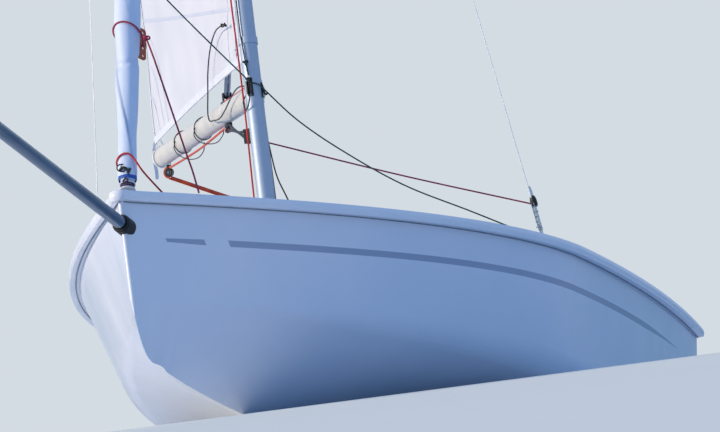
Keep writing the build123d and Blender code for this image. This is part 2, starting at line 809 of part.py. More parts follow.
def shroud(side):
    """The wire from the adjuster over the spreader's tip to the hounds, with its swaged end."""
    top_pin = CHAINPLATE_HEIGHT - CHAINPLATE_PIN_BELOW_TOP + ADJUSTER_LENGTH - 2 * ADJUSTER_END
    plates_end = top_pin + ADJUSTER_END
    place = shroud_frame(side)
    start = in_frame(place, 0, 0, top_pin)
    tip = spreader_tip(side)
    swage_foot = in_frame(place, 0, 0, plates_end)
    swage = rod(swage_foot, in_frame(place, 0, 0, plates_end + SWAGE_LENGTH), SWAGE_RADIUS)
    wire = together([rod(start, tip, SHROUD_RADIUS), rod(tip, HOUNDS, SHROUD_RADIUS), swage])
    return wire - mast() - mast_bands() - spreaders() - shroud_adjuster(side)


def stem_fitting():
    """The plate on the foredeck with the block that the forestay stands on."""
    z = deck_height(0, FORESTAY_FOOT_Y)
    top = z + STEM_FITTING_HEIGHT
    y = FORESTAY_FOOT_Y
    plate = rounded_box((-STEM_FITTING_WIDTH / 2, y - STEM_FITTING_LENGTH / 2, z - DECK_GRIP),
                        (STEM_FITTING_WIDTH / 2, y + STEM_FITTING_LENGTH / 2, top),
                        Axis.Z, STEM_FITTING_CORNER)
    block = rounded_box((-STAY_BASE_WIDTH / 2, y - STAY_BASE_LENGTH / 2, top),
                        (STAY_BASE_WIDTH / 2, y + STAY_BASE_LENGTH / 2, top + STAY_BASE_HEIGHT),
                        Axis.Z, STAY_BASE_CORNER)
    return (plate + block) - deck_form()


def forestay():
    return rod(FORESTAY_FOOT, HOUNDS, FORESTAY_RADIUS) - mast() - mast_bands() - stem_fitting()


def furler_drum():
    """The spool under the jib that its furling line winds round, turned with a waist."""
    top = DRUM_HEIGHT
    low = DRUM_LIFT
    waist = (low + top) / 2
    half_section = make_face(Wire([
        Line((FORESTAY_RADIUS, 0, low), (DRUM_RADIUS, 0, low)),
        Line((DRUM_RADIUS, 0, low), (DRUM_RADIUS, 0, low + DRUM_RIM)),
        ThreePointArc((DRUM_RADIUS, 0, low + DRUM_RIM), (DRUM_WAIST, 0, waist),
                      (DRUM_RADIUS, 0, top - DRUM_RIM)),
        Line((DRUM_RADIUS, 0, top - DRUM_RIM), (DRUM_RADIUS, 0, top)),
        Line((DRUM_RADIUS, 0, top), (FORESTAY_RADIUS, 0, top)),
        Line((FORESTAY_RADIUS, 0, top), (FORESTAY_RADIUS, 0, low)),
    ]))
    return STAY_FRAME * revolve(half_section, Axis.Z)


def roll_radius(up):
    """Radius of the rolled jib at a distance up the stay."""
    for (low, low_radius), (high, high_radius) in zip(JIB_ROLL, JIB_ROLL[1:]):
        if up <= high:
            return low_radius + (high_radius - low_radius) * (up - low) / (high - low)
    return JIB_ROLL[-1][1]


def jib_roll():
    outline = [(FORESTAY_RADIUS, 0, JIB_ROLL[0][0])]
    outline += [(radius, 0, up) for up, radius in JIB_ROLL]
    outline += [(FORESTAY_RADIUS, 0, JIB_ROLL[-1][0])]
    face = make_face(Polyline(outline, close=True))
    return STAY_FRAME * revolve(face, Axis.Z)


def clew_board():
    """The plate in the jib's corner, left standing out of the roll, with its row of holes."""
    inner = roll_radius(CLEW_BOARD_UP) - CLEW_BOARD_BITE
    outer = inner + CLEW_BOARD_LENGTH
    half = CLEW_BOARD_THICKNESS / 2
    body = rounded_box((-half, inner, CLEW_BOARD_UP), (half, outer, CLEW_BOARD_UP + CLEW_BOARD_HEIGHT),
                       Axis.X, CLEW_BOARD_CORNER)
    pitch = CLEW_BOARD_HEIGHT / CLEW_BOARD_HOLES
    hole_y = outer - CLEW_BOARD_HOLE_IN
    for index in range(CLEW_BOARD_HOLES):
        z = CLEW_BOARD_UP + (index + 0.5) * pitch
        body = body - rod((-half, hole_y, z), (half, hole_y, z), CLEW_BOARD_HOLE_RADIUS)
    turned = Location((0, 0, 0), (0, 0, CLEW_BOARD_TURN - 90)) * body
    return STAY_FRAME * turned - jib_roll()


def gooseneck_bracket():
    """A plate on the mast's after face with two lugs and the pin between them."""
    face = MAST_DEPTH / 2
    half = GOOSENECK_WIDTH / 2
    inner = face - GOOSENECK_BITE
    low, high = GOOSENECK_UP - GOOSENECK_HEIGHT / 2, GOOSENECK_UP + GOOSENECK_HEIGHT / 2
    body = box_between((-half, inner, low), (half, face + GOOSENECK_PLATE, high))
    lug_end = GOOSENECK_OFFSET + GOOSENECK_BARREL_RADIUS
    for lug_low in (low, high - GOOSENECK_LUG):
        body = body + box_between((-half, inner, lug_low), (half, lug_end, lug_low + GOOSENECK_LUG))
    pin = rod((0, GOOSENECK_OFFSET, low - GOOSENECK_PIN_SPARE),
              (0, GOOSENECK_OFFSET, high + GOOSENECK_PIN_SPARE), GOOSENECK_PIN_RADIUS)
    return MAST_FRAME * (body + pin) - mast()


def boom_toggle():
    """A barrel on the pin with an arm that plugs into the boom."""
    reach = GOOSENECK_HEIGHT / 2 - GOOSENECK_LUG - GOOSENECK_LUG_GAP
    barrel = rod((0, 0, -reach), (0, 0, reach), GOOSENECK_BARREL_RADIUS)
    arm = box_between((-TOGGLE_ARM_WIDTH / 2, 0, -TOGGLE_ARM_DEPTH / 2),
                      (TOGGLE_ARM_WIDTH / 2, BOOM_START + TOGGLE_ARM_IN_BOOM, TOGGLE_ARM_DEPTH / 2))
    body = barrel + Location((0, 0, 0), (BOOM_RISE, 0, 0)) * arm
    bore = rod((0, 0, -GOOSENECK_HEIGHT), (0, 0, GOOSENECK_HEIGHT), GOOSENECK_PIN_RADIUS + PIN_CLEARANCE)
    return SWING_FRAME * (body - bore)


def boom_outline(y, scale=1.0, grow=0):
    edges = Ellipse(BOOM_WIDTH / 2 * scale + grow, BOOM_DEPTH / 2 * scale + grow).edges()
    place = Location((0, y, 0), (90, 0, 0))
    return Wire([place * edge for edge in edges])


def boom():
    body = Solid.make_loft([boom_outline(BOOM_START), boom_outline(BOOM_LENGTH - BOOM_END_CAP)], ruled=True)
    return BOOM_FRAME * body - boom_toggle()


def boom_end_cap():
    body = Solid.make_loft([
        boom_outline(BOOM_LENGTH - BOOM_END_CAP),
        boom_outline(BOOM_LENGTH, BOOM_END_CAP_TAPER),
    ], ruled=True)
    return BOOM_FRAME * body


def boom_block(out, radius, drop):
    """A sheave between two round cheeks, hung on a strap under the boom."""
    top = -BOOM_DEPTH / 2
    centre = top - drop - radius
    half = SHEAVE_WIDTH / 2
    cheek = rod((half, out, centre), (half + BLOCK_CHEEK, out, centre), radius)
    strap = box_between((half, out - BLOCK_STRAP_WIDTH / 2, centre),
                        (half + BLOCK_CHEEK, out + BLOCK_STRAP_WIDTH / 2, top + BLOCK_BITE))
    side = cheek + strap
    sheave = rod((-half, out, centre), (half, out, centre), radius - SHEAVE_IN)
    head = box_between((-half, out - BLOCK_STRAP_WIDTH / 2, top - drop / 2),
                       (half, out + BLOCK_STRAP_WIDTH / 2, top + BLOCK_BITE))
    return BOOM_FRAME * together([side, side.mirror(Plane.YZ), sheave, head]) - boom() - boom_end_cap()


def boom_strut():
    """A strut above the boom that holds it down, on a car on the boom's top."""
    top = BOOM_DEPTH / 2
    car = rounded_box((-CAR_WIDTH / 2, STRUT_OUT - CAR_LENGTH / 2, 0),
                      (CAR_WIDTH / 2, STRUT_OUT + CAR_LENGTH / 2, top + CAR_HEIGHT), Axis.X, CAR_CORNER)
    car = BOOM_FRAME * car - boom()
    foot = in_frame(BOOM_FRAME, STRUT_SIDE, STRUT_OUT, top + CAR_HEIGHT / 2)
    head = in_frame(SWING_FRAME, STRUT_SIDE, STRUT_FROM_PIN, STRUT_UP)
    return car.fuse(rod(foot, head, STRUT_RADIUS) - boom())


def sail_strip(up, chord, rise, twist, camber):
    """One thin curved strip across the sail, bulging to leeward."""
    start_y = MAST_DEPTH / 2 + TRACK_DEPTH + SAIL_LUFF_GAP - GOOSENECK_OFFSET
    angle = radians(twist)

    def place(along, out, height):
        x = -sin(angle) * along - cos(angle) * out
        y = start_y + cos(angle) * along - sin(angle) * out
        return Vector(x, y, up + height)

    rows = []
    for offset in (0, SAIL_THICKNESS):
        deepest = place(chord * DEEPEST_AT, chord * camber + offset, rise * DEEPEST_AT)
        rows.append((place(0, offset, 0), deepest, place(chord, offset, rise)))
    (a0, a1, a2), (b0, b1, b2) = rows
    return Wire([ThreePointArc(a0, a1, a2), Line(a2, b2), ThreePointArc(b2, b1, b0), Line(b0, a0)])


def clew_height():
    """Height of the clew above the gooseneck, just clear of the rising boom's top."""
    return FOOT_LENGTH * sin(radians(BOOM_RISE)) + BOOM_DEPTH / 2 + CLEW_LIFT


def mainsail():
    strips = [sail_strip(TACK_UP, FOOT_LENGTH, clew_height() - TACK_UP, FOOT_TWIST, FOOT_CAMBER)]
    for up_share, chord_share, rise, twist, camber in SAIL_SECTIONS:
        strips.append(sail_strip(up_share * LUFF_LENGTH, chord_share * FOOT_LENGTH, rise, twist, camber))
    return SWING_FRAME * Solid.make_loft(strips)


def clew_strap():
    """A webbing band round the boom that holds the sail's corner down."""
    start = FOOT_LENGTH - CLEW_STRAP_WIDTH
    top = BOOM_DEPTH / 2
    band = Solid.make_loft([boom_outline(start, 1, CLEW_STRAP_THICKNESS),
                            boom_outline(FOOT_LENGTH, 1, CLEW_STRAP_THICKNESS)], ruled=True)
    tail = box_between((-CLEW_STRAP_THICKNESS, start, top - CLEW_STRAP_THICKNESS),
                       (CLEW_STRAP_THICKNESS, FOOT_LENGTH, top + CLEW_STRAP_RISE))
    return BOOM_FRAME * (band + tail) - boom() - mainsail()


def gudgeon(z):
    half_plate = GUDGEON_PLATE_WIDTH / 2
    half_lug = GUDGEON_LUG_WIDTH / 2
    plate = box_between((-half_plate, TRANSOM_Y, z - GUDGEON_PLATE_HEIGHT / 2),
                        (half_plate, TRANSOM_Y + GUDGEON_PLATE_THICKNESS, z + GUDGEON_PLATE_HEIGHT / 2))
    lug = box_between((-half_lug, TRANSOM_Y, z - GUDGEON_THICKNESS / 2),
                      (half_lug, TRANSOM_Y + PIN_OFFSET + GUDGEON_BEYOND_PIN, z + GUDGEON_THICKNESS / 2))
    return plate + lug


def gudgeons():
    low, high = GUDGEON_Z
    pin_y = TRANSOM_Y + PIN_OFFSET
    pin = rod((0, pin_y, low - PIN_BEYOND_GUDGEON), (0, pin_y, high + PIN_BEYOND_GUDGEON), PIN_RADIUS)
    return together([gudgeon(low), gudgeon(high), pin])


def rudder_stock():
    """Two cheeks joined along the front and at the head, with lugs on the hull's pin."""
    pin_y = TRANSOM_Y + PIN_OFFSET
    front = pin_y + STOCK_FRONT
    back = front + STOCK_LENGTH
    gap = RUDDER_THICKNESS / 2 + BLADE_CLEARANCE
    half = gap + STOCK_CHEEK
    body = rounded_box((-half, front, STOCK_BOTTOM), (half, back, STOCK_TOP), Axis.X, STOCK_CORNER)
    body = body - box_between((-gap, front + STOCK_SPINE, STOCK_BOTTOM - CUT_SPARE),
                              (gap, back + CUT_SPARE, STOCK_TOP - STOCK_HEAD))
    hole_y = (front + STOCK_SPINE + back) / 2
    lightening_hole = rod((-half, hole_y, LIGHTENING_HOLE_Z), (half, hole_y, LIGHTENING_HOLE_Z),
                          LIGHTENING_HOLE_RADIUS)
    body = body - lightening_hole
    half_lug = STOCK_LUG_WIDTH / 2
    for z in (GUDGEON_Z[0] + STOCK_LUG_OFFSET, GUDGEON_Z[1] - STOCK_LUG_OFFSET):
        body = body + box_between((-half_lug, pin_y - half_lug, z - STOCK_LUG_HEIGHT / 2),
                                  (half_lug, front + STOCK_SPINE, z + STOCK_LUG_HEIGHT / 2))
    pin_hole = rod((0, pin_y, STOCK_BOTTOM), (0, pin_y, STOCK_TOP), PIN_RADIUS + PIN_CLEARANCE)
    return body - blade_bolt() - pin_hole


def blade_pivot():
    stock_middle = TRANSOM_Y + PIN_OFFSET + STOCK_FRONT + STOCK_LENGTH / 2
    return Vector(0, stock_middle + BLADE_PIVOT_AFT, BLADE_PIVOT_Z)


def across_pivot(reach, radius):
    """A round bar athwart through the blade's pivot."""
    pivot = blade_pivot()
    return rod((-reach, pivot.Y, pivot.Z), (reach, pivot.Y, pivot.Z), radius)


def rudder_blade():
    centre = blade_pivot().Y
    blade = Solid.make_loft([
        foil(RUDDER_TIP_CHORD, RUDDER_TIP_THICKNESS, -RUDDER_DEPTH, centre + RUDDER_TIP_RAKE),
        foil(RUDDER_CHORD, RUDDER_THICKNESS, RUDDER_SHOULDER_Z, centre),
        foil(RUDDER_CHORD, RUDDER_THICKNESS, BLADE_PIVOT_Z, centre),
    ], ruled=True)
    head = across_pivot(RUDDER_THICKNESS / 2, RUDDER_CHORD / 2)
    return blade + head - across_pivot(RUDDER_THICKNESS, BLADE_PIVOT_RADIUS)


def blade_bolt():
    reach = RUDDER_THICKNESS / 2 + BLADE_CLEARANCE + STOCK_CHEEK + BLADE_BOLT_HEAD
    return across_pivot(reach, BLADE_PIVOT_RADIUS - PIN_CLEARANCE)


def tiller():
    pin_y = TRANSOM_Y + PIN_OFFSET
    heel = (0, pin_y + STOCK_FRONT + TILLER_HEEL, TILLER_Z)
    head = (0, pin_y - TILLER_LENGTH, TILLER_Z + TILLER_CLIMB)
    return rod(heel, head, TILLER_RADIUS) - rudder_stock()


def tiller_extension():
    z = TILLER_Z + TILLER_CLIMB + TILLER_RADIUS + EXTENSION_RADIUS - EXTENSION_BITE
    y = TRANSOM_Y + PIN_OFFSET - TILLER_LENGTH + EXTENSION_FROM_HEAD
    return rod((0, y, z), (0, y + EXTENSION_LENGTH, z - EXTENSION_FALL), EXTENSION_RADIUS) - tiller()


def mast_cleats():
    """Small cleats and a bracket on the mast, each turned round it to its own side."""
    cleats = []
    for turn, up, width, height, depth in MAST_CLEATS:
        face = -hypot(MAST_DEPTH / 2 * cos(radians(turn)), MAST_WIDTH / 2 * sin(radians(turn)))
        body = box_between((-width / 2, face - depth, up), (width / 2, face + CLEAT_BITE, up + height))
        cleats.append(Location((0, 0, 0), (0, 0, turn)) * body)
    return MAST_FRAME * together(cleats) - mast()


def hatches():
    covers = []
    for side in (1, -1):
        x = side * HATCH_OFFSET
        face_y = WELL_FRONT_Y + HATCH_THICKNESS
        covers.append(rod((x, WELL_FRONT_Y, HATCH_Z), (x, face_y, HATCH_Z), HATCH_RADIUS))
    return together(covers)


def jib_fairlead(side):
    """A rounded block on the side deck with the jib sheet's eye through it."""
    z = deck_height(FAIRLEAD_OFFSET, FAIRLEAD_Y)
    x = side * FAIRLEAD_OFFSET
    body = rounded_box((x - FAIRLEAD_WIDTH / 2, FAIRLEAD_Y - FAIRLEAD_LENGTH / 2, z - DECK_GRIP),
                       (x + FAIRLEAD_WIDTH / 2, FAIRLEAD_Y + FAIRLEAD_LENGTH / 2, z + FAIRLEAD_HEIGHT),
                       Axis.X, FAIRLEAD_CORNER)
    eye_z = z + FAIRLEAD_HEIGHT - 2 * FAIRLEAD_EYE_RADIUS
    eye = rod((x, FAIRLEAD_Y - FAIRLEAD_LENGTH, eye_z), (x, FAIRLEAD_Y + FAIRLEAD_LENGTH, eye_z),
              FAIRLEAD_EYE_RADIUS)
    return body - eye - deck_form()


def mainsheet_base():
    low = FLOOR_HEIGHT + FLOOR_THICKNESS
    return taper((0, SHEET_BASE_Y, low), (0, SHEET_BASE_Y, low + SHEET_BASE_HEIGHT),
                 SHEET_BASE_RADIUS, SHEET_BASE_TOP_RADIUS)


def bridle_eyes():
    eyes = []
    for side in (1, -1):
        x = side * BRIDLE_EYE_OFFSET
        y = TRANSOM_Y - BRIDLE_EYE_INBOARD
        place = Plane(origin=(x, y, deck_height(x, y) + BRIDLE_EYE_LIFT), z_dir=(0, 1, 0))
        eyes.append(Solid.make_torus(BRIDLE_EYE_RADIUS, BRIDLE_EYE_WIRE, place))
    return together(eyes) - deck_form()


def toe_straps():
    straps = []
    aft_end = TRANSOM_Y - TRANSOM_THICKNESS
    for side in (1, -1):
        x = side * STRAP_OFFSET
        straps.append(box_between((x - STRAP_WIDTH / 2, WELL_FRONT_Y, STRAP_Z),
                                  (x + STRAP_WIDTH / 2, aft_end, STRAP_Z + STRAP_THICKNESS)))
    return together(straps)


def parts():
    pieces = {
        "hull_moulding": hull(),
        "deck_moulding": deck(),
        "cockpit_floor": cockpit_floor(),
        "daggerboard_case": daggerboard_case(),
        "daggerboard": daggerboard(),
        "daggerboard_cap": board_cap(),
        "bow_collar": bow_collar(),
        "bowsprit": bowsprit(),
        "bowsprit_cap": bowsprit_cap(),
        "mast": mast(),
        "mast_bands": mast_bands(),
        "mast_step": mast_step(),
        "masthead": masthead(),
        "spreaders": spreaders(),
        "stem_fitting": stem_fitting(),
        "forestay": forestay(),
        "furler_drum": furler_drum(),
        "jib_roll": jib_roll(),
        "clew_board": clew_board(),
        "gooseneck_bracket": gooseneck_bracket(),
        "boom_toggle": boom_toggle(),
        "boom": boom(),
        "boom_end_cap": boom_end_cap(),
        "boom_strut": boom_strut(),
        "clew_strap": clew_strap(),
        "mainsail": mainsail(),
        "rudder_gudgeons": gudgeons(),
        "rudder_stock": rudder_stock(),
        "rudder_blade": rudder_blade(),
        "blade_bolt": blade_bolt(),
        "tiller": tiller(),
        "tiller_extension": tiller_extension(),
        "mast_cleats": mast_cleats(),
        "hatches": hatches(),
        "mainsheet_base": mainsheet_base(),
        "bridle_eyes": bridle_eyes(),
        "toe_straps": toe_straps(),
    }
    for name, out, radius, drop in BOOM_BLOCKS:
        pieces[name] = boom_block(out, radius, drop)
    for name, side in (("port", 1), ("starboard", -1)):
        pieces["chainplate_" + name] = chainplate(side)
        pieces["shroud_adjuster_" + name] = shroud_adjuster(side)
        pieces["shroud_" + name] = shroud(side)
        pieces["jib_fairlead_" + name] = jib_fairlead(side)
    return pieces


os.makedirs("parts", exist_ok=True)
for node, solid in parts().items():
    export_step(solid, "parts/" + node + ".step")
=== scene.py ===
import json
import math
import random

import bpy
from mathutils import Matrix, Vector

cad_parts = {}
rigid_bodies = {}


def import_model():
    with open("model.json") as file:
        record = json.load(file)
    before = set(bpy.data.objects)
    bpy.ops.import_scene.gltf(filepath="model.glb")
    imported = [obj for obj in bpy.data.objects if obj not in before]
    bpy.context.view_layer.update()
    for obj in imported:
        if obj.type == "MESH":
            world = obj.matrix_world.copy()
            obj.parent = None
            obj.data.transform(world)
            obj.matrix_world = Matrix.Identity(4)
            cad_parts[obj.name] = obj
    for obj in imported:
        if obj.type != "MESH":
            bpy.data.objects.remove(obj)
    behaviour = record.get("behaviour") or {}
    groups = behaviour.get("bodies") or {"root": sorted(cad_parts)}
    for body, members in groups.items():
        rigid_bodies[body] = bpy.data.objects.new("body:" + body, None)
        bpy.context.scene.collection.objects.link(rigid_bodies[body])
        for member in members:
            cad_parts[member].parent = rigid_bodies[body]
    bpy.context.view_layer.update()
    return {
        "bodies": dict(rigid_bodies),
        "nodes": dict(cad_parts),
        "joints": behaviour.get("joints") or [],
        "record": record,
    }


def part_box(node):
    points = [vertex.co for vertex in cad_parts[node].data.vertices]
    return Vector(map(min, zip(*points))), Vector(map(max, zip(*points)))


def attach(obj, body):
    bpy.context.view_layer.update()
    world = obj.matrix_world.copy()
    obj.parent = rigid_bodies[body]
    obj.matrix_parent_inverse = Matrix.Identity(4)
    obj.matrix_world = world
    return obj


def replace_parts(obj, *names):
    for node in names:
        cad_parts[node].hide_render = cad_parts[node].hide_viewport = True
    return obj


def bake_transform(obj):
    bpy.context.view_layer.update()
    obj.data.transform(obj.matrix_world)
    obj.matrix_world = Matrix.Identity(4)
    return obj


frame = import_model()
nodes = frame["nodes"]


# Hull moulding. Glass-fibre laminate behind white gelcoat, pulled from a polished mould, so
# the skin is glossy and fair, with only the faintest unevenness over the cloth beneath it.
# A thin tapered grey stripe runs along the port topside.
def linear(hex_colour):
    """An sRGB colour such as #E8EEF5 as the linear values that a shader takes."""
    shares = [int(hex_colour[i:i + 2], 16) / 255 for i in (1, 3, 5)]
    return tuple(c / 12.92 if c <= 0.04045 else ((c + 0.055) / 1.055) ** 2.4 for c in shares) + (1,)


def add(tree, kind, inputs=None, **settings):
    """Adds a node; an input is a number, a colour or another node's output."""
    made = tree.nodes.new(kind)
    for name, value in settings.items():
        setattr(made, name, value)
    for socket, value in (inputs or {}).items():
        if isinstance(value, bpy.types.NodeSocket):
            tree.links.new(value, made.inputs[socket])
        else:
            made.inputs[socket].default_value = value
    return made


def finish(name, colours, gloss, size, depth=0.0, stretch=(1, 1, 1), **sockets):
    """A finish whose colour, roughness and height wander in patches of that size in metres."""
    made = bpy.data.materials.new(name)
    made.use_nodes = True
    tree = made.node_tree
    shader = tree.nodes["Principled BSDF"]
    for socket, value in sockets.items():
        shader.inputs[socket.replace("_", " ")].default_value = value
    place = add(tree, "ShaderNodeTexCoord")
    scaled = add(tree, "ShaderNodeMapping", {"Vector": place.outputs["Object"], "Scale": stretch})
    cloud = add(tree, "ShaderNodeTexNoise", {"Vector": scaled.outputs[0], "Scale": 1 / size,
                                             "Detail": 5.0})
    share = add(tree, "ShaderNodeMapRange", {"Value": cloud.outputs[0], "From Min": 0.3, "From Max": 0.7})
    tint = add(tree, "ShaderNodeMix", {0: share.outputs[0], 6: linear(colours[0]), 7: linear(colours[1])},
               data_type="RGBA")
    rough = add(tree, "ShaderNodeMapRange", {"Value": share.outputs[0], "To Min": gloss[0],
                                             "To Max": gloss[1]})
    tree.links.new(tint.outputs[2], shader.inputs["Base Color"])
    tree.links.new(rough.outputs[0], shader.inputs["Roughness"])
    if depth:
        bump = add(tree, "ShaderNodeBump", {"Height": share.outputs[0], "Distance": depth})
        tree.links.new(bump.outputs[0], shader.inputs["Normal"])
    return made, tree, shader


def lay_over(tree, shader, share, colour):
    """Puts a colour over the finish where share is 1."""
    below = shader.inputs["Base Color"].links[0].from_socket
    mixed = add(tree, "ShaderNodeMix", {0: share, 6: below, 7: linear(colour)}, data_type="RGBA")
    tree.links.new(mixed.outputs[2], shader.inputs["Base Color"])


def finish_node(name, material):
    """Gives a CAD piece its finish."""
    slots = nodes[name].data.materials
    slots.clear()
    slots.append(material)
    for face in nodes[name].data.polygons:
        face.material_index = 0


gelcoat, tree, shader = finish("gelcoat", ("#E4ECF6", "#ECF1F8"), (0.16, 0.24), 0.35, 0.0006)
place = add(tree, "ShaderNodeTexCoord")
axes = add(tree, "ShaderNodeSeparateXYZ", {0: place.outputs["Object"]})
# The stripe falls 12.5 mm a metre towards the stern, widens from the bow and tapers out aft.
STRIPE_FALL, STRIPE_HEIGHT, STRIPE_START = -0.0125, 0.3205, -1.99
centre = add(tree, "ShaderNodeMath", {0: axes.outputs[1], 1: STRIPE_FALL, 2: STRIPE_HEIGHT},
             operation="MULTIPLY_ADD")
off = add(tree, "ShaderNodeMath", {0: axes.outputs[2], 1: centre.outputs[0]}, operation="SUBTRACT")
away = add(tree, "ShaderNodeMath", {0: off.outputs[0]}, operation="ABSOLUTE")
widening = add(tree, "ShaderNodeMapRange", {"Value": axes.outputs[1], "From Min": STRIPE_START,
                                            "From Max": -1.80, "To Min": 0.0055, "To Max": 0.0098})
taper = add(tree, "ShaderNodeMapRange", {"Value": axes.outputs[1], "From Min": 1.0, "From Max": 1.72,
                                         "To Min": 0.0108, "To Max": 0.0})
half = add(tree, "ShaderNodeMath", {0: widening.outputs[0], 1: taper.outputs[0]}, operation="MINIMUM")
inside = add(tree, "ShaderNodeMath", {0: away.outputs[0], 1: half.outputs[0]}, operation="LESS_THAN")
# Its ends are cut on a slant, and it stops short on both sides of a bare length near the bow.
slant = add(tree, "ShaderNodeMath", {0: off.outputs[0], 1: 0.6, 2: axes.outputs[1]},
            operation="MULTIPLY_ADD")
begun = add(tree, "ShaderNodeMath", {0: slant.outputs[0], 1: STRIPE_START}, operation="GREATER_THAN")
bare = add(tree, "ShaderNodeMath", {0: slant.outputs[0], 1: -1.795, 2: 0.046}, operation="COMPARE")
kept = add(tree, "ShaderNodeMath", {0: begun.outputs[0], 1: bare.outputs[0]}, operation="SUBTRACT")
# The starboard side is bare. The cockpit's walls share the stripe's height, so abaft the well's
# front it lies only far out.
outer = add(tree, "ShaderNodeMath", {0: axes.outputs[0], 1: 0.58}, operation="GREATER_THAN")
before = add(tree, "ShaderNodeMath", {0: axes.outputs[1], 1: -0.64}, operation="LESS_THAN")
port = add(tree, "ShaderNodeMath", {0: axes.outputs[0], 1: 0.0}, operation="GREATER_THAN")
forward = add(tree, "ShaderNodeMath", {0: before.outputs[0], 1: port.outputs[0]}, operation="MULTIPLY")
skin_only = add(tree, "ShaderNodeMath", {0: outer.outputs[0], 1: forward.outputs[0]}, operation="MAXIMUM")
shown = add(tree, "ShaderNodeMath", {0: inside.outputs[0], 1: kept.outputs[0]}, operation="MULTIPLY")
stripe = add(tree, "ShaderNodeMath", {0: shown.outputs[0], 1: skin_only.outputs[0]}, operation="MULTIPLY",
             use_clamp=True)
lay_over(tree, shader, stripe.outputs[0], "#A3B1C6")
finish_node("hull_moulding", gelcoat)


# Deck moulding. A second gelcoated shell, bonded onto the hull along a rolled gunwale; the
# bond is closed from below by a grey bead of sealant, whose grey also stands in for the shadow
# line under the lip, as painted shade. The foredeck and the side decks carry moulded non-slip
# panels, a hair proud of the gloss round them.
def mesh_piece(name, points, faces, material, body, sharp=35):
    """Makes an object from points in the row frame and lets it ride on a body."""
    mesh = bpy.data.meshes.new(name)
    mesh.from_pydata([tuple(point) for point in points], [], faces)
    mesh.materials.append(material)
    mesh.shade_smooth()
    mesh.set_sharp_from_angle(angle=math.radians(sharp))
    made = bpy.data.objects.new(name, mesh)
    bpy.context.collection.objects.link(made)
    if body:
        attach(made, body)
    return made


def skin(name, rows, material, body, closed=False, sharp=35):
    """A surface through rows of points; a closed one joins each row round and caps the ends."""
    count = len(rows[0])
    sides = count if closed else count - 1
    faces, marks, along = [], [], 0.0
    for index in range(len(rows) - 1):
        after = along + (rows[index + 1][0] - rows[index][0]).length
        for side in range(sides):
            following = (side + 1) % count
            faces.append((index * count + side, index * count + following,
                          (index + 1) * count + following, (index + 1) * count + side))
            low, high = side / count, (side + 1) / count
            marks += [along, low, along, high, after, high, after, low]
        along = after
    if closed:
        faces.append(tuple(reversed(range(count))))
        faces.append(tuple(range((len(rows) - 1) * count, len(rows) * count)))
        marks += [0.0] * (4 * count)
    made = mesh_piece(name, [point for row in rows for point in row], faces, material, body, sharp)
    made.data.uv_layers.new(name="along").data.foreach_set("uv", marks)
    return made


def curve(knots, at):
    """The values at a place along a smooth line through (place, values) knots."""
    index = 0
    while index < len(knots) - 2 and knots[index + 1][0] < at:
        index += 1
    (start, low), (end, high) = knots[index], knots[index + 1]
    back, before = knots[max(index - 1, 0)]
    ahead, after = knots[min(index + 2, len(knots) - 1)]
    t = (at - start) / (end - start)
    made = []
    for b, l, h, a in zip(before, low, high, after):
        leave = (h - b) / (end - back) * (end - start)
        arrive = (a - l) / (ahead - start) * (end - start)
        made.append((2 * t ** 3 - 3 * t * t + 1) * l + (t ** 3 - 2 * t * t + t) * leave
                    + (3 * t * t - 2 * t ** 3) * h + (t ** 3 - t * t) * arrive)
    return made


def line_through(corners, spacing):
    """Points close together on a smooth line through the corners."""
    corners = [Vector(corner) for corner in corners]
    knots, along = [(0.0, corners[0])], 0.0
    for before, here in zip(corners, corners[1:]):
        along += (here - before).length
        knots.append((along, here))
    steps = max(2, math.ceil(along / spacing))
    return [Vector(curve(knots, along * step / steps)) for step in range(steps + 1)]


def tube(name, corners, diameter, material, body, spacing=0.02, sides=10):
    """A round rope or bead along a smooth line through the corners."""
    line = line_through(corners, spacing)
    side, rows = None, []
    for before, here, after in zip([line[0]] + line, line, line[1:] + [line[-1]]):
        heading = (after - before).normalized()
        side = side or heading.orthogonal()
        side = (side - heading * side.dot(heading)).normalized()
        other = heading.cross(side)
        turns = [math.tau * index / sides for index in range(sides)]
        rows.append([here + (side * math.cos(a) + other * math.sin(a)) * (diameter / 2) for a in turns])
    return skin(name, rows, material, body, closed=True)


STEM_Y, HULL_LENGTH, TO_WIDEST, HALF_BEAM, NARROWING = -2.150, 4.300, 2.230, 0.829, 0.169


def half_breadth(y):
    """Half the hull's breadth at the gunwale: full at the widest place, and drawn in by the stern."""
    back = y - STEM_Y
    if back <= TO_WIDEST:
        return max(0.009, HALF_BEAM * (1 - (1 - max(back, 0) / TO_WIDEST) ** 1.84) ** 1.04)
    return HALF_BEAM - NARROWING * ((back - TO_WIDEST) / (HULL_LENGTH - TO_WIDEST)) ** 2


def sheer(y):
    """Height of the gunwale, which falls 60 mm from the stem to the stern."""
    share = (y - STEM_Y) / HULL_LENGTH
    return 0.496 - 0.060 * share * (2 - share)


def on_top(name, x, y, clear):
    """The point on a CAD piece's top at that place, raised by a clearance."""
    hit, point, _, _ = nodes[name].ray_cast(Vector((x, y, 2.0)), Vector((0, 0, -1)))
    return point + Vector((0, 0, clear)) if hit else Vector((x, y, sheer(y)))


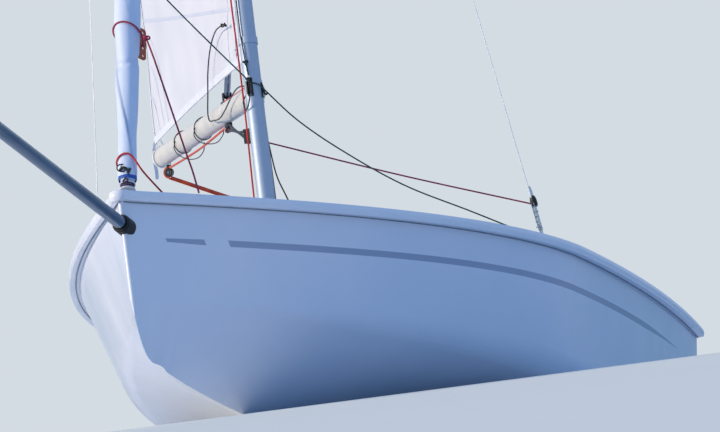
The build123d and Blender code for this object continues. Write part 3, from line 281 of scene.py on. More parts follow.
def panel(name, edges, material, side):
    """A non-slip panel between two edges, given as (y, inner x, outer x), with rounded corners."""
    begin, end = edges[0][0], edges[-1][0]
    steps, corner, proud, sunk = 56, 0.035, 0.0016, -0.0005
    rows = []
    for step in range(steps + 1):
        y = begin + (end - begin) * step / steps
        inner, outer = curve([(at, (a, b)) for at, a, b in edges], y)
        near = max(0.0, min(y - begin, end - y))
        cut = corner - math.sqrt(corner ** 2 - (corner - near) ** 2) if near < corner else 0.0
        rim = step in (0, steps)
        row = []
        for share in [0, 0] + [index / 10 for index in range(11)] + [1, 1]:
            x = inner + cut + (outer - inner - 2 * cut) * share
            lift = sunk if rim or len(row) in (0, 14) else proud
            row.append(on_top("deck_moulding", side * x, y, lift))
        rows.append(row if side > 0 else row[::-1])
    return skin(name, rows, material, "hull", sharp=60)


deck_gelcoat = finish("deck_gelcoat", ("#E8EEF6", "#F0F3F8"), (0.18, 0.27), 0.22, 0.0004)[0]
finish_node("deck_moulding", deck_gelcoat)

# Non-slip is a field of small pyramids 3 mm apart; here they are drawn 9 mm apart, so that the
# panel still shows its matt grain from a few metres off.
nonslip, tree, shader = finish("nonslip", ("#CDD5DC", "#D9DFE5"), (0.55, 0.7), 0.12)
place = add(tree, "ShaderNodeTexCoord")
turned_grid = add(tree, "ShaderNodeMapping",
                  {"Vector": place.outputs["Object"], "Rotation": (0, 0, 0.785)})
cells = add(tree, "ShaderNodeTexVoronoi", {"Vector": turned_grid.outputs[0], "Scale": 1 / 0.009,
                                           "Randomness": 0.0},
            distance="MANHATTAN", voronoi_dimensions="2D")
bump = add(tree, "ShaderNodeBump", {"Height": cells.outputs["Distance"], "Distance": 0.003,
                                    "Strength": 0.8}, invert=True)
tree.links.new(bump.outputs[0], shader.inputs["Normal"])

SIDES = ((1, "port"), (-1, "starboard"))
for side, label in SIDES:
    panel("nonslip_bow_" + label,
          [(y, 0.03 + 0.05 * max(0.0, (y + 0.95) / 0.12), half_breadth(y) - 0.07)
           for y in (-1.93, -1.75, -1.55, -1.35, -1.15, -0.95, -0.83)], nonslip, side)
    panel("nonslip_side_" + label,
          [(y, inner + 0.028, half_breadth(y) - 0.045)
           for y, inner in ((-0.50, 0.385), (-0.20, 0.455), (0.02, 0.50), (0.45, 0.538), (0.90, 0.522),
                            (1.40, 0.497), (1.95, 0.473))], nonslip, side)

# The bead's grey is partly the sealant's own colour and partly painted shade for the shadow line under the
# lip.
sealant_and_shade_line = finish("sealant_and_shade_line", ("#75808E", "#8A94A0"), (0.45, 0.6), 0.02, 0.0004)[0]
BEAD_DROP = 0.0335
port_edge = [Vector((half_breadth(y) + 0.001, y, sheer(y) - BEAD_DROP))
             for y in [-2.149 + 4.29 * (step / 60) ** 1.5 for step in range(61)]]
starboard_edge = [Vector((-p.x, p.y, p.z)) for p in reversed(port_edge)]
tube("gunwale_bead", starboard_edge + [Vector((0, -2.1525, sheer(STEM_Y) - BEAD_DROP))] + port_edge,
     0.0042, sealant_and_shade_line, "hull", spacing=0.03, sides=8)


# Cockpit floor. Part of the deck moulding, with the same non-slip grain all over it.
# It drains aft through the transom.
finish_node("cockpit_floor", nonslip)


# Daggerboard case and board. The case is gelcoated with the deck; the board is a filled and
# painted foil, and its head is a black moulded cap. Two rubber lips close the slot round it.
foil_paint = finish("foil_paint", ("#E3E8EC", "#EEF1F3"), (0.22, 0.32), 0.15, 0.0003, (1, 1, 0.3))[0]
moulded_black = finish("moulded_black", ("#17181A", "#232427"), (0.4, 0.55), 0.015, 0.0003)[0]
finish_node("daggerboard_case", deck_gelcoat)
finish_node("daggerboard", foil_paint)
finish_node("daggerboard_cap", moulded_black)


def ribbon(name, corners, across, width, thickness, material, body, spacing=0.03):
    """A flat strap along a smooth line, as wide as given in the across direction."""
    line = line_through(corners, spacing)
    rows = []
    for before, here, after in zip([line[0]] + line, line, line[1:] + [line[-1]]):
        wide = Vector(across).normalized() * (width / 2)
        thick = (after - before).cross(wide).normalized() * (thickness / 2)
        rows.append([here + wide + thick, here - wide + thick, here - wide - thick, here + wide - thick])
    return skin(name, rows, material, body, closed=True)


rubber = finish("black_rubber", ("#141517", "#202226"), (0.5, 0.68), 0.02, 0.0004)[0]
case_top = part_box("daggerboard_case")[1].z
board_low, board_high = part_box("daggerboard")
for side, label in SIDES:
    x = side * (board_high.x + 0.008)
    slot = [(x, board_low.y + 0.01, case_top + 0.0012), (x, board_high.y - 0.01, case_top + 0.0012)]
    ribbon("slot_lip_" + label, slot, (1, 0, 0.12 * side), 0.012, 0.0016, rubber, "hull")


# Bow collar. A soft rubber bellows that seals the pole where it leaves the stem; it is
# gathered into a few rings that lie one behind the other.
def shift(x, y, z):
    """A move, in metres."""
    return Matrix.Translation((x, y, z))


def spin(degrees, axis):
    """A turn about one axis."""
    return Matrix.Rotation(math.radians(degrees), 4, axis)


# The pole's own frame: its origin is where the tube leaves the stem, and its Y axis runs aft and
# slightly down along the tube.
POLE = shift(0, -2.150, 0.389) @ spin(-9.5, "X")
# The radius at which a turned piece's flat ends close on its axis.
AXIS = 0.0001


def turned(name, profile, place, material, body, sides=36):
    """A piece turned about its own Z axis, from (radius, height) corners, with flat ends."""
    (first, low), (last, high) = profile[0], profile[-1]
    closed = [(AXIS, low)] * (first > AXIS) + list(profile) + [(AXIS, high)] * (last > AXIS)
    rows = []
    for radius, height in closed:
        turns = [math.tau * index / sides for index in range(sides)]
        rows.append([place @ Vector((radius * math.cos(a), radius * math.sin(a), height)) for a in turns])
    return skin(name, rows, material, body, closed=True)


def ring(name, radius, thickness, place, material, body, sides=40):
    """A round bead bent into a ring about its own Z axis."""
    made = []
    for index in range(sides):
        a = math.tau * index / sides
        row = []
        for point in range(10):
            b = math.tau * point / 10
            out = radius + thickness / 2 * math.cos(b)
            rise = thickness / 2 * math.sin(b)
            row.append(place @ Vector((out * math.cos(a), out * math.sin(a), rise)))
        made.append(row)
    points = [point for row in made for point in row]
    faces = [(i * 10 + j, (i + 1) % sides * 10 + j, (i + 1) % sides * 10 + (j + 1) % 10,
              i * 10 + (j + 1) % 10) for i in range(sides) for j in range(10)]
    return mesh_piece(name, points, faces, material, body)


finish_node("bow_collar", rubber)
UPRIGHT = spin(-90, "X")
for index, (out, radius) in enumerate(((-0.0135, 0.0243), (-0.0080, 0.0262), (-0.0020, 0.0276))):
    ring("collar_ring_%d" % index, radius, 0.0050, POLE @ shift(0, out, 0) @ UPRIGHT, rubber, "hull")


# Bowsprit. A drawn alloy tube, dark anodised and worn lighter by the collar along its length,
# with a black moulded end and a small stainless eye for the spinnaker's tack.
pole_alloy = finish("pole_alloy", ("#627384", "#7C8C9C"), (0.12, 0.22), 0.05, 0.0001, (1, 0.06, 1),
                    Metallic=1.0)[0]
finish_node("bowsprit", pole_alloy)
finish_node("bowsprit_cap", moulded_black)
steel = finish("stainless", ("#C4C7CA", "#D8DADC"), (0.14, 0.26), 0.02, 0.0001, Metallic=1.0)[0]
ring("tack_eye", 0.009, 0.004, POLE @ shift(0, -1.318, -0.026) @ spin(90, "Y"), steel, "bowsprit",
     sides=24)


# Mast. A satin anodised alloy extrusion with a grooved track up its after face, standing in
# a shallow cast step. The upper part is tapered, and a plain band sits at the stays' height.
MAST = shift(0, -0.712, 0.50535) @ spin(-2.1, "X")
anodised, tree, shader = finish("anodised_alloy", ("#A9BBD0", "#BCCBDD"), (0.55, 0.65), 0.09, 0.0001,
                                (1, 1, 0.03), Metallic=0.6)
# The clear anodised skin scatters light, so the tube looks satin and only partly metallic.
# Drawing leaves fine lines along it, 1 mm apart; they are drawn 4 mm apart here.
place = add(tree, "ShaderNodeTexCoord")
drawn = add(tree, "ShaderNodeMapping", {"Vector": place.outputs["Object"], "Scale": (250, 250, 0.8)})
lines = add(tree, "ShaderNodeTexNoise", {"Vector": drawn.outputs[0], "Scale": 1.0, "Detail": 2.0})
bump = add(tree, "ShaderNodeBump", {"Height": lines.outputs[0], "Distance": 0.0002, "Strength": 0.3})
tree.links.new(bump.outputs[0], shader.inputs["Normal"])
for name in ("mast", "mast_bands", "mast_step", "spreaders"):
    finish_node(name, anodised)
finish_node("masthead", moulded_black)


def block(name, size, place, material, body, edge=0.002):
    """A machined or moulded block with its edges rounded, centred on its place."""
    half = [length / 2 for length in size]
    points = [place @ Vector((x * half[0], y * half[1], z * half[2]))
              for z in (-1, 1) for y in (-1, 1) for x in (-1, 1)]
    faces = [(0, 2, 3, 1), (4, 5, 7, 6), (0, 1, 5, 4), (2, 6, 7, 3), (0, 4, 6, 2), (1, 3, 7, 5)]
    made = mesh_piece(name, points, faces, material, body)
    rounding = made.modifiers.new("edge", "BEVEL")
    rounding.width = edge
    rounding.segments = 3
    rounding.harden_normals = True
    return made


# Mast fittings. A moulded clam cleat for the downhaul low on the front, a hook for the control
# lines on the port side, and a fairlead bracket on the starboard side, each screwed on.
cleat = MAST @ shift(0.001, -0.036, 0.545)
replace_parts(block("clam_base", (0.021, 0.006, 0.064), cleat @ shift(0, -0.002, 0), moulded_black, "hull"),
            "mast_cleats")
for side in (1, -1):
    jaw = cleat @ shift(side * 0.0065, -0.009, -0.004) @ Matrix.Rotation(side * 0.28, 4, "Z")
    block("clam_jaw_%d" % (side > 0), (0.006, 0.012, 0.046), jaw, moulded_black, "hull", 0.0015)
    for step in range(6):
        tooth = jaw @ shift(-side * 0.0032, -0.0015, -0.018 + 0.007 * step)
        block("clam_tooth_%d_%d" % (side > 0, step), (0.0022, 0.009, 0.0028),
              tooth @ Matrix.Rotation(0.5, 4, "X"), moulded_black, "hull", 0.0006)


def corners_in(frame, corners):
    """Corners given in a piece's own frame, as points of the boat's."""
    return [frame @ Vector(corner) for corner in corners]


ring("clam_lead", 0.0085, 0.005, cleat @ shift(0, -0.010, 0.027), moulded_black, "hull", sides=28)
block("hook_plate", (0.004, 0.012, 0.052), MAST @ shift(0.0295, 0, 0.535), moulded_black, "hull", 0.0012)
hook = corners_in(MAST, ((0.030, 0, 0.560), (0.033, 0, 0.545), (0.036, 0, 0.528), (0.040, 0, 0.519),
                         (0.045, 0, 0.518), (0.047, 0, 0.524)))
tube("hook", hook, 0.007, moulded_black, "hull", spacing=0.004)
block("bracket_plate", (0.005, 0.020, 0.046), MAST @ shift(-0.0305, 0.004, 0.389), moulded_black, "hull",
      0.0015)
roller = [(0.007, -0.006), (0.0085, -0.005), (0.0062, -0.001), (0.0062, 0.001), (0.0085, 0.005),
          (0.007, 0.006)]
for up in (0.371, 0.389, 0.407):
    turned("bracket_roller_%d" % round(up * 1000), roller, MAST @ shift(-0.043, 0.012, up),
           moulded_black, "hull", 24)
block("bracket_arm", (0.024, 0.005, 0.05), MAST @ shift(-0.043, 0.002, 0.389), moulded_black, "hull",
      0.0012)
screw_head = [(0.0042, 0), (0.0042, 0.0009), (0.0030, 0.0018), (AXIS, 0.0020)]
for index, up in enumerate((0.572, 0.517)):
    turned("cleat_screw_%d" % index, screw_head, MAST @ shift(0.001, -0.0412, up) @ spin(90, "X"), steel,
           "hull", 16)


# Spreaders. Alloy tubes swept aft, with a black rubber boot over each tip where the shroud
# passes, so that it can't chafe the sail.
def aimed(heading):
    """A turn that points a piece's Z axis along a heading."""
    return heading.to_track_quat("Z", "Y").to_matrix().to_4x4()


tip_boot = [(0.0085, -0.030), (0.0105, -0.022), (0.0125, 0.0), (0.0115, 0.009), (0.006, 0.014),
            (AXIS, 0.015)]
for side, label in SIDES:
    tip = MAST @ Vector((side * 0.486, 0.129, 2.400))
    heading = (tip - MAST @ Vector((side * 0.03, 0.0, 2.400))).normalized()
    turned("spreader_boot_" + label, tip_boot, Matrix.Translation(tip) @ aimed(heading), rubber, "hull", 24)


# Stays. Laid stainless wire, 4 mm, swaged at the ends; the shrouds are pinned through
# perforated adjusters to chainplates in the side decks. The lay is drawn 24 mm apart, about
# six times its real size, so that the wire still glints in short steps.
wire, tree, shader = finish("stay_wire", ("#E8EDF1", "#F4F6F8"), (0.35, 0.45), 0.05, Metallic=0.25)
place = add(tree, "ShaderNodeTexCoord")
lay = add(tree, "ShaderNodeTexWave", {"Vector": place.outputs["Object"], "Scale": 26.0},
          bands_direction="DIAGONAL")
bump = add(tree, "ShaderNodeBump", {"Height": lay.outputs["Fac"], "Distance": 0.0002})
tree.links.new(bump.outputs[0], shader.inputs["Normal"])
for name in ("forestay", "shroud_port", "shroud_starboard"):
    finish_node(name, wire)
for name in ("stem_fitting", "chainplate_port", "chainplate_starboard", "shroud_adjuster_port",
             "shroud_adjuster_starboard"):
    finish_node(name, steel)
HOUNDS = MAST @ Vector((0, 0, 4.520))
swage = [(0.0052, -0.004), (0.0056, 0.004), (0.0056, 0.040), (0.0042, 0.052), (0.0026, 0.058)]
swage_boot = [(0.0105, -0.012), (0.0118, -0.006), (0.0118, 0.010), (0.0085, 0.022), (0.0060, 0.024)]
for side, label in SIDES:
    low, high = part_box("shroud_adjuster_" + label)
    middle = (low + high) / 2
    top = Vector((middle.x - side * 0.004, middle.y, high.z))
    along = (MAST @ Vector((side * 0.49, 0.135, 2.4)) - top).normalized()
    place = Matrix.Translation(top) @ aimed(along)
    turned("shroud_swage_" + label, swage, place, steel, "hull", 20)
    turned("shroud_boot_" + label, swage_boot, place, moulded_black, "hull", 24)
    for step in range(5):
        up = low.z + (high.z - low.z) * (0.14 + 0.18 * step)
        turned("adjuster_pin_%s_%d" % (label, step), [(0.0022, -0.0070), (0.0022, 0.0070)],
               shift(middle.x, middle.y, up) @ spin(90, "Y"), steel, "hull", 14)


# Jib furler. A pale moulded drum on the stem fitting, with its purple line wound in the
# waist; over it a blue webbing strap is tied round the foot of the rolled sail, and the
# black tack ring stands out above it on a snap hook.
STAY_FOOT = Vector((0, -2.065, 0.5067))
rise = (HOUNDS - STAY_FOOT).normalized()
aft = rise.cross(Vector((1, 0, 0)))
STAY = Matrix.Translation(STAY_FOOT) @ Matrix((Vector((1, 0, 0)), aft, rise)).transposed().to_4x4()
pale_plastic = finish("pale_plastic", ("#C9CFD4", "#D9DDE1"), (0.35, 0.5), 0.02, 0.0002)[0]
finish_node("furler_drum", pale_plastic)


def braid(name, colour, shade):
    """A braided rope's cover: small diamonds of yarn, drawn at about twice their size, with painted shade
    in the gaps between them.
    """
    made, tree, shader = finish(name, (shade, colour), (0.6, 0.78), 0.03, Sheen_Weight=0.15)
    mark = add(tree, "ShaderNodeUVMap", uv_map="along")
    pitch, round_it = 0.006, 6
    laid = add(tree, "ShaderNodeMapping", {"Vector": mark.outputs[0], "Rotation": (0, 0, 0.785),
                                           "Scale": (1 / pitch, round_it, 1)})
    yarn = add(tree, "ShaderNodeTexVoronoi", {"Vector": laid.outputs[0], "Scale": 1.0,
                                              "Randomness": 0.15}, voronoi_dimensions="2D")
    # The gaps between the yarns are painted in the darker colour: painted shade.
    gap_shade = add(tree, "ShaderNodeMapRange", {"Value": yarn.outputs["Distance"], "From Min": 0.35,
                                           "From Max": 0.75, "To Min": 0.0, "To Max": 0.4})
    lay_over(tree, shader, gap_shade.outputs[0], shade)
    bump = add(tree, "ShaderNodeBump", {"Height": yarn.outputs["Distance"], "Distance": 0.0012},
               invert=True)
    tree.links.new(bump.outputs[0], shader.inputs["Normal"])
    return made


purple_line = braid("purple_line", "#4A3560", "#251A33")
blue_webbing = finish("blue_webbing", ("#1F4FA0", "#2C63BC"), (0.6, 0.75), 0.006, 0.0006, (1, 1, 2))[0]
random.seed(5)
for turn in range(5):
    lean = Matrix.Rotation(random.uniform(-0.10, 0.10), 4, "X")
    tilt = lean @ Matrix.Rotation(random.uniform(-0.08, 0.08), 4, "Y")
    ring("furler_turn_%d" % turn, 0.0192 + 0.0012 * (turn % 2), 0.0046,
         STAY @ shift(0, 0, 0.0105 + 0.0036 * turn) @ tilt, purple_line, "hull", sides=32)
strap_turns = [math.tau * index / 40 for index in range(41)]
band = ((0.0285, 0.037), (0.0292, 0.039), (0.0298, 0.045), (0.0292, 0.052), (0.0284, 0.0535))
rows = [[STAY @ Vector((r * math.cos(a), r * math.sin(a), z + 0.002 * math.sin(2 * a)))
         for r, z in band] for a in strap_turns]
skin("tack_strap", rows, blue_webbing, "hull")
ring("tack_ring", 0.0140, 0.0042, STAY @ shift(-0.007, -0.0345, 0.069) @ spin(82, "X") @ spin(20, "Y"),
     moulded_black, "hull")
snap_hook = corners_in(STAY, ((-0.014, -0.034, 0.060), (-0.004, -0.037, 0.068), (0.006, -0.036, 0.066),
                              (0.013, -0.033, 0.058), (0.017, -0.030, 0.050)))
tube("snap_hook", snap_hook, 0.0085, moulded_black, "hull", spacing=0.004)
gate = STAY @ shift(0.017, -0.031, 0.056) @ Matrix.Rotation(0.5, 4, "Y")
block("snap_gate", (0.008, 0.007, 0.020), gate, moulded_black, "hull")
drum_knot = corners_in(STAY, ((0.002, -0.030, 0.033), (0.012, -0.029, 0.028), (0.010, -0.030, 0.020),
                              (0.000, -0.030, 0.016), (-0.004, -0.029, 0.024), (0.006, -0.032, 0.030)))
tube("drum_knot", drum_knot, 0.0055, purple_line, "hull", spacing=0.004)


# Rolled jib. Pale polyester sailcloth rolled tight round the stay: each turn overlaps the
# last, so its edge climbs the roll as a shallow spiral step, and the roll is pinched where
# the sheets bear on it. The clew's laminated orange board stands out from the roll.
ROLL = [(0.028, 0.014), (0.042, 0.026), (0.062, 0.032), (0.105, 0.030), (0.205, 0.0295), (0.250, 0.032),
        (0.43, 0.0375), (0.470, 0.0372), (0.615, 0.043), (0.760, 0.041), (2.400, 0.030), (4.150, 0.015)]
ROLL_LOW, ROLL_HIGH = 0.029, 4.148
TURN_CLIMB, PINCH_UP = 1.1, 0.462
jib_cloth, tree, shader = finish("jib_cloth", ("#CBDCF2", "#E2ECFA"), (0.45, 0.6), 0.10, 0.0016,
                                 (1, 1, 0.35), Sheen_Weight=0.1)
mark = add(tree, "ShaderNodeUVMap", uv_map="along")
parts = add(tree, "ShaderNodeSeparateXYZ", {0: mark.outputs[0]})
climb = add(tree, "ShaderNodeMath", {0: parts.outputs[0], 1: 1 / TURN_CLIMB, 2: parts.outputs[1]},
            operation="MULTIPLY_ADD")
turn_share = add(tree, "ShaderNodeMath", {0: climb.outputs[0]}, operation="FRACT")
# The cloth is painted darker over the last stretch of each turn, next to its spiral step: painted shade in
# the step.
painted_step_shade = add(tree, "ShaderNodeMapRange", {"Value": turn_share.outputs[0], "From Min": 0.93, "From Max": 1.0,
                                        "To Min": 0.0, "To Max": 0.45})
lay_over(tree, shader, painted_step_shade.outputs[0], "#7F93AE")
rows = []
random.seed(11)
waves = [(random.uniform(0, math.tau), random.uniform(5, 40), random.randint(1, 3)) for _ in range(9)]
for step in range(561):
    up = ROLL_LOW + (ROLL_HIGH - ROLL_LOW) * (step / 560) ** 1.15
    base = curve([(at, (r,)) for at, r in ROLL], up)[0]
    pinch = 0.0022 * math.exp(-((up - PINCH_UP) / 0.010) ** 2)
    row = []
    for index in range(72):
        share = index / 72
        angle = math.tau * share
        spiral = ((up / TURN_CLIMB + share) % 1.0) * 0.0032 * min(1, base / 0.03)
        second = ((up / 0.83 + share + 0.4) % 1.0) * 0.0011 * min(1, base / 0.03)
        ruck = sum(math.sin(start + up * rate + turns * angle) for start, rate, turns in waves) * 0.00032
        crease = 0.0042 * math.exp(-((up - PINCH_UP - 0.026 * math.sin(angle + 0.5)) / 0.008) ** 2)
        radius = base - 0.0022 + spiral + second + ruck - pinch - crease
        row.append(STAY @ Vector((radius * math.cos(angle), radius * math.sin(angle), up)))
    rows.append(row)
roll = skin("jib_roll_cloth", rows, jib_cloth, "hull", closed=True, sharp=60)
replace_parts(roll, "jib_roll")
finish_node("clew_board", finish("clew_laminate", ("#A04A28", "#C4653A"), (0.4, 0.55), 0.012, 0.0005)[0])


# Boom. A satin cream-coated alloy tube on a stainless gooseneck, with a white moulded end.
# The strut above it holds it down; its car is a black moulding on the boom's top.
EASED_DEGREES, RISE_DEGREES = 27.9, 8.6
SWING = MAST @ shift(0, 0.050, 0.545) @ spin(EASED_DEGREES, "Z")
BOOM = SWING @ spin(RISE_DEGREES, "X")
boom_paint = finish("boom_paint", ("#D2D1C8", "#E0DED5"), (0.34, 0.48), 0.06, 0.0002)[0]
white_moulding = finish("white_moulding", ("#E6E8E8", "#F0F1F1"), (0.3, 0.4), 0.02)[0]
strut_alloy = finish("strut_alloy", ("#8E99A5", "#A3AEB9"), (0.28, 0.4), 0.03, 0.0001, Metallic=1.0)[0]
finish_node("boom", boom_paint)
finish_node("boom_end_cap", white_moulding)
finish_node("gooseneck_bracket", steel)
finish_node("boom_toggle", steel)
strut_foot = BOOM @ Vector((0.015, 0.800, 0.060))
strut_head = SWING @ Vector((0.015, 0.030, 0.750))
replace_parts(tube("boom_strut_tube", [strut_foot, strut_head], 0.022, strut_alloy, "boom", 0.2, 28),
            "boom_strut")
block("car_body", (0.034, 0.070, 0.014), BOOM @ shift(0.012, 0.800, 0.0400), moulded_black, "boom", 0.005)
for side in (1, -1):
    block("car_lug_%d" % (side > 0), (0.0045, 0.026, 0.032),
          BOOM @ shift(0.015 + side * 0.0136, 0.798, 0.060), moulded_black, "boom", 0.0018)
bolt = [(0.0048, -0.0175), (0.0048, -0.0160), (0.0026, -0.0158), (0.0026, 0.0158), (0.0048, 0.0160),
        (0.0048, 0.0175)]
turned("strut_bolt", bolt, BOOM @ shift(0.015, 0.798, 0.066) @ spin(90, "Y"), steel, "boom", 20)
turned("strut_head_plug", [(0.0126, -0.012), (0.0126, 0.001), (0.0100, 0.004)],
       Matrix.Translation(strut_head) @ aimed(strut_head - strut_foot), moulded_black, "boom", 28)


# Blocks under the boom. Each is a pale sheave between black moulded cheeks, on a stainless pin
# below a moulded head; the one at the end hangs from a shackle.
END_BLOCK = BOOM @ shift(0, 2.262, -0.0715) @ spin(60, "Z")
MID_BLOCK = BOOM @ shift(0, 0.750, -0.0545)
for name, centre, radius in (("boom_end_block", END_BLOCK, 0.0165), ("boom_mid_block", MID_BLOCK, 0.014)):
    groove = [(radius * 0.86, -0.0050), (radius * 0.66, -0.0015), (radius * 0.66, 0.0015),
              (radius * 0.86, 0.0050)]
    sheave = turned(name + "_sheave", groove, centre @ spin(90, "Y"), pale_plastic, "boom", 32)
    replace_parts(sheave, name)
    dome = [(radius * 0.97, 0), (radius * 1.02, 0.0010), (radius * 0.95, 0.0026),
            (radius * 0.70, 0.0034), (radius * 0.62, 0.0026)]
    for side in (1, -1):
        cheek = centre @ shift(side * 0.0056, 0, 0) @ spin(90 * side, "Y")
        turned("%s_cheek_%d" % (name, side > 0), dome, cheek, moulded_black, "boom", 36)
        turned("%s_pin_%d" % (name, side > 0), [(0.0046, 0.001), (0.0046, 0.0048), (0.0036, 0.0056)],
               cheek, steel, "boom", 18)
    block(name + "_head", (0.017, 0.013, 0.016), centre @ shift(0, 0, radius + 0.004), moulded_black,
          "boom", 0.003)
ring("end_block_shackle", 0.0085, 0.0045, BOOM @ shift(0, 2.262, -0.0420) @ spin(90, "X"), steel, "boom",
     sides=28)


# Mainsail. Resined white polyester, cut in cross panels and sewn with lapped seams; stiff
# tapes run up the luff, along the foot and down the leech, battens lie in pockets on it, and
# the corners carry layered patches with a pressed eye.
# Each row: height up the mast, then the chord, the leech's lift, the twist in degrees and the camber.
SAIL = [(0.130, (2.370, 0.2739, 0.5, 0.006)), (1.3897, (2.07375, 0.330, 1.5, 0.035)),
        (2.8863, (1.6116, 0.250, 4.0, 0.060)), (4.276, (1.0191, 0.140, 7.0, 0.060)),
        (5.345, (0.3555, 0.040, 9.0, 0.040))]
SAIL_LOW, SAIL_HIGH, DEEPEST = 0.130, 5.345, 0.42
# These turn shares of the sail into metres where its creases and patches fan out.
FOOT, LUFF = 2.37, 5.2


def sail_point(across, up_share, off=0.0):
    """The point on the sail that share of the way to the leech and to the head."""
    up = SAIL_LOW + (SAIL_HIGH - SAIL_LOW) * up_share
    chord, lift, twist, camber = curve(SAIL, up)
    angle = math.radians(twist)
    if across < DEEPEST:
        bulge = 1 - ((DEEPEST - across) / DEEPEST) ** 2
    else:
        bulge = 1 - ((across - DEEPEST) / (1 - DEEPEST)) ** 2
    out = chord * camber * bulge + off
    # Soft creases fan out from the tack and the clew, and die away up the sail.
    low = math.exp(-up_share * 5)
    rise = up_share * LUFF + 0.02
    out += 0.0028 * low * math.sin(34 * math.atan2(rise, across * FOOT + 0.05)) * across
    out += 0.0024 * low * math.sin(40 * math.atan2(rise, (1 - across) * FOOT + 0.05)) * (1 - across)
    along = chord * across
    return SWING @ Vector((-math.sin(angle) * along - math.cos(angle) * out,
                           -0.0067 + math.cos(angle) * along - math.sin(angle) * out, up + lift * across))


sailcloth, tree, shader = finish("sailcloth", ("#E6E8EC", "#F0F1F3"), (0.45, 0.6), 0.25, 0.0008)
place = add(tree, "ShaderNodeTexCoord")
# Resined cloth crinkles where it has been handled; its own 0.5 mm weave is too fine to draw.
crinkle = add(tree, "ShaderNodeTexVoronoi", {"Vector": place.outputs["Object"], "Scale": 9.0},
              feature="SMOOTH_F1")
below = shader.inputs["Normal"].links[0].from_socket
bump = add(tree, "ShaderNodeBump", {"Height": crinkle.outputs["Distance"], "Distance": 0.004,
                                    "Strength": 0.6, "Normal": below})
tree.links.new(bump.outputs[0], shader.inputs["Normal"])
glow = add(tree, "ShaderNodeBsdfTranslucent", {"Color": linear("#E6EBF4")})
thin = add(tree, "ShaderNodeMixShader", {0: 0.22, 1: shader.outputs[0], 2: glow.outputs[0]})
tree.links.new(thin.outputs[0], tree.nodes["Material Output"].inputs["Surface"])
rows = [[sail_point(column / 64, step / 150) for column in range(65)] for step in range(151)]
sail = skin("mainsail_cloth", rows, sailcloth, "boom", sharp=180)
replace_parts(sail, "mainsail")

tape = finish("sail_tape", ("#DFE5EF", "#EBF0F7"), (0.45, 0.6), 0.02, 0.0004)[0]
seam = finish("sail_seam", ("#C3CCDB", "#D3DAE6"), (0.5, 0.65), 0.01, 0.0004)[0]


def sew(name, line, width, material, proud=0.0009):
    """A strip of cloth sewn over the sail on both faces, along (across, up) shares."""
    for off, face in ((proud, "a"), (-proud, "b")):
        rows = []
        for before, here, after in zip([line[0]] + line, line, line[1:] + [line[-1]]):
            middle = sail_point(*here, off)
            heading = (sail_point(*after, off) - sail_point(*before, off)).normalized()
            a, b = here
            back = sail_point(a + 0.004, b, off) - sail_point(a - 0.004, b, off)
            rise = sail_point(a, b + 0.002, off) - sail_point(a, b - 0.002, off)
            wide = heading.cross(back.cross(rise).normalized()) * (width / 2)
            rows.append([middle + wide, middle - wide])
        skin("%s_%s" % (name, face), rows, material, "boom", sharp=180)


ups = [step / 80 for step in range(81)]
acrosses = [step / 40 for step in range(41)]
sew("luff_tape", [(0.007 + 0.004 * up, up) for up in ups], 0.034, tape, 0.0011)
sew("leech_tape", [(0.9935 - 0.012 * up, up) for up in ups], 0.022, tape, 0.0020)
sew("foot_tape", [(across, 0.0028) for across in acrosses], 0.026, tape, 0.0024)
for index, (front, back) in enumerate(((0.033, 0.082), (0.195, 0.240), (0.360, 0.400), (0.525, 0.560),
                                       (0.690, 0.718), (0.842, 0.862))):
    sew("seam_%d" % index, [(0.012 + 0.976 * a, front + (back - front) * a) for a in acrosses], 0.012,
        seam)
for index, (up, begin) in enumerate(((0.185, 0.66), (0.400, 0.62), (0.600, 0.58), (0.800, 0.03))):
    share = [begin + (0.985 - begin) * step / 24 for step in range(25)]
    sew("batten_pocket_%d" % index, [(a, up + 0.004 * (1 - a)) for a in share], 0.044, tape, 0.0015)
    sew("batten_%d" % index, [(a, up + 0.004 * (1 - a)) for a in share[:-1]], 0.016, tape, 0.0034)
for corner in ("tack", "clew"):
    for layer, reach in enumerate((0.42, 0.30, 0.18)):
        arc = []
        for step in range(17):
            angle = math.radians(90) * step / 16
            across = reach / 2.3 * math.cos(angle)
            arc.append((across if corner == "tack" else 1 - across, reach * 0.9 / LUFF * math.sin(angle)))
        arc = [(min(0.996, max(0.004, a)), max(0.0015, b)) for a, b in arc]
        sew("%s_patch_%d" % (corner, layer), arc, 0.008, tape, 0.0011 + 0.0003 * layer)
for name, (across, up) in (("clew_eye", (0.991, 0.0060)), ("tack_eye_main", (0.125, 0.0095))):
    here = sail_point(across, up)
    u = (sail_point(across + 0.002, up) - sail_point(across - 0.002, up)).normalized()
    v = (sail_point(across, up + 0.002) - sail_point(across, up - 0.002)).normalized()
    w = u.cross(v).normalized()
    place = Matrix.Translation(here) @ Matrix((u, w.cross(u), w)).transposed().to_4x4()
    ring(name, 0.0105, 0.005, place, steel, "boom", sides=28)


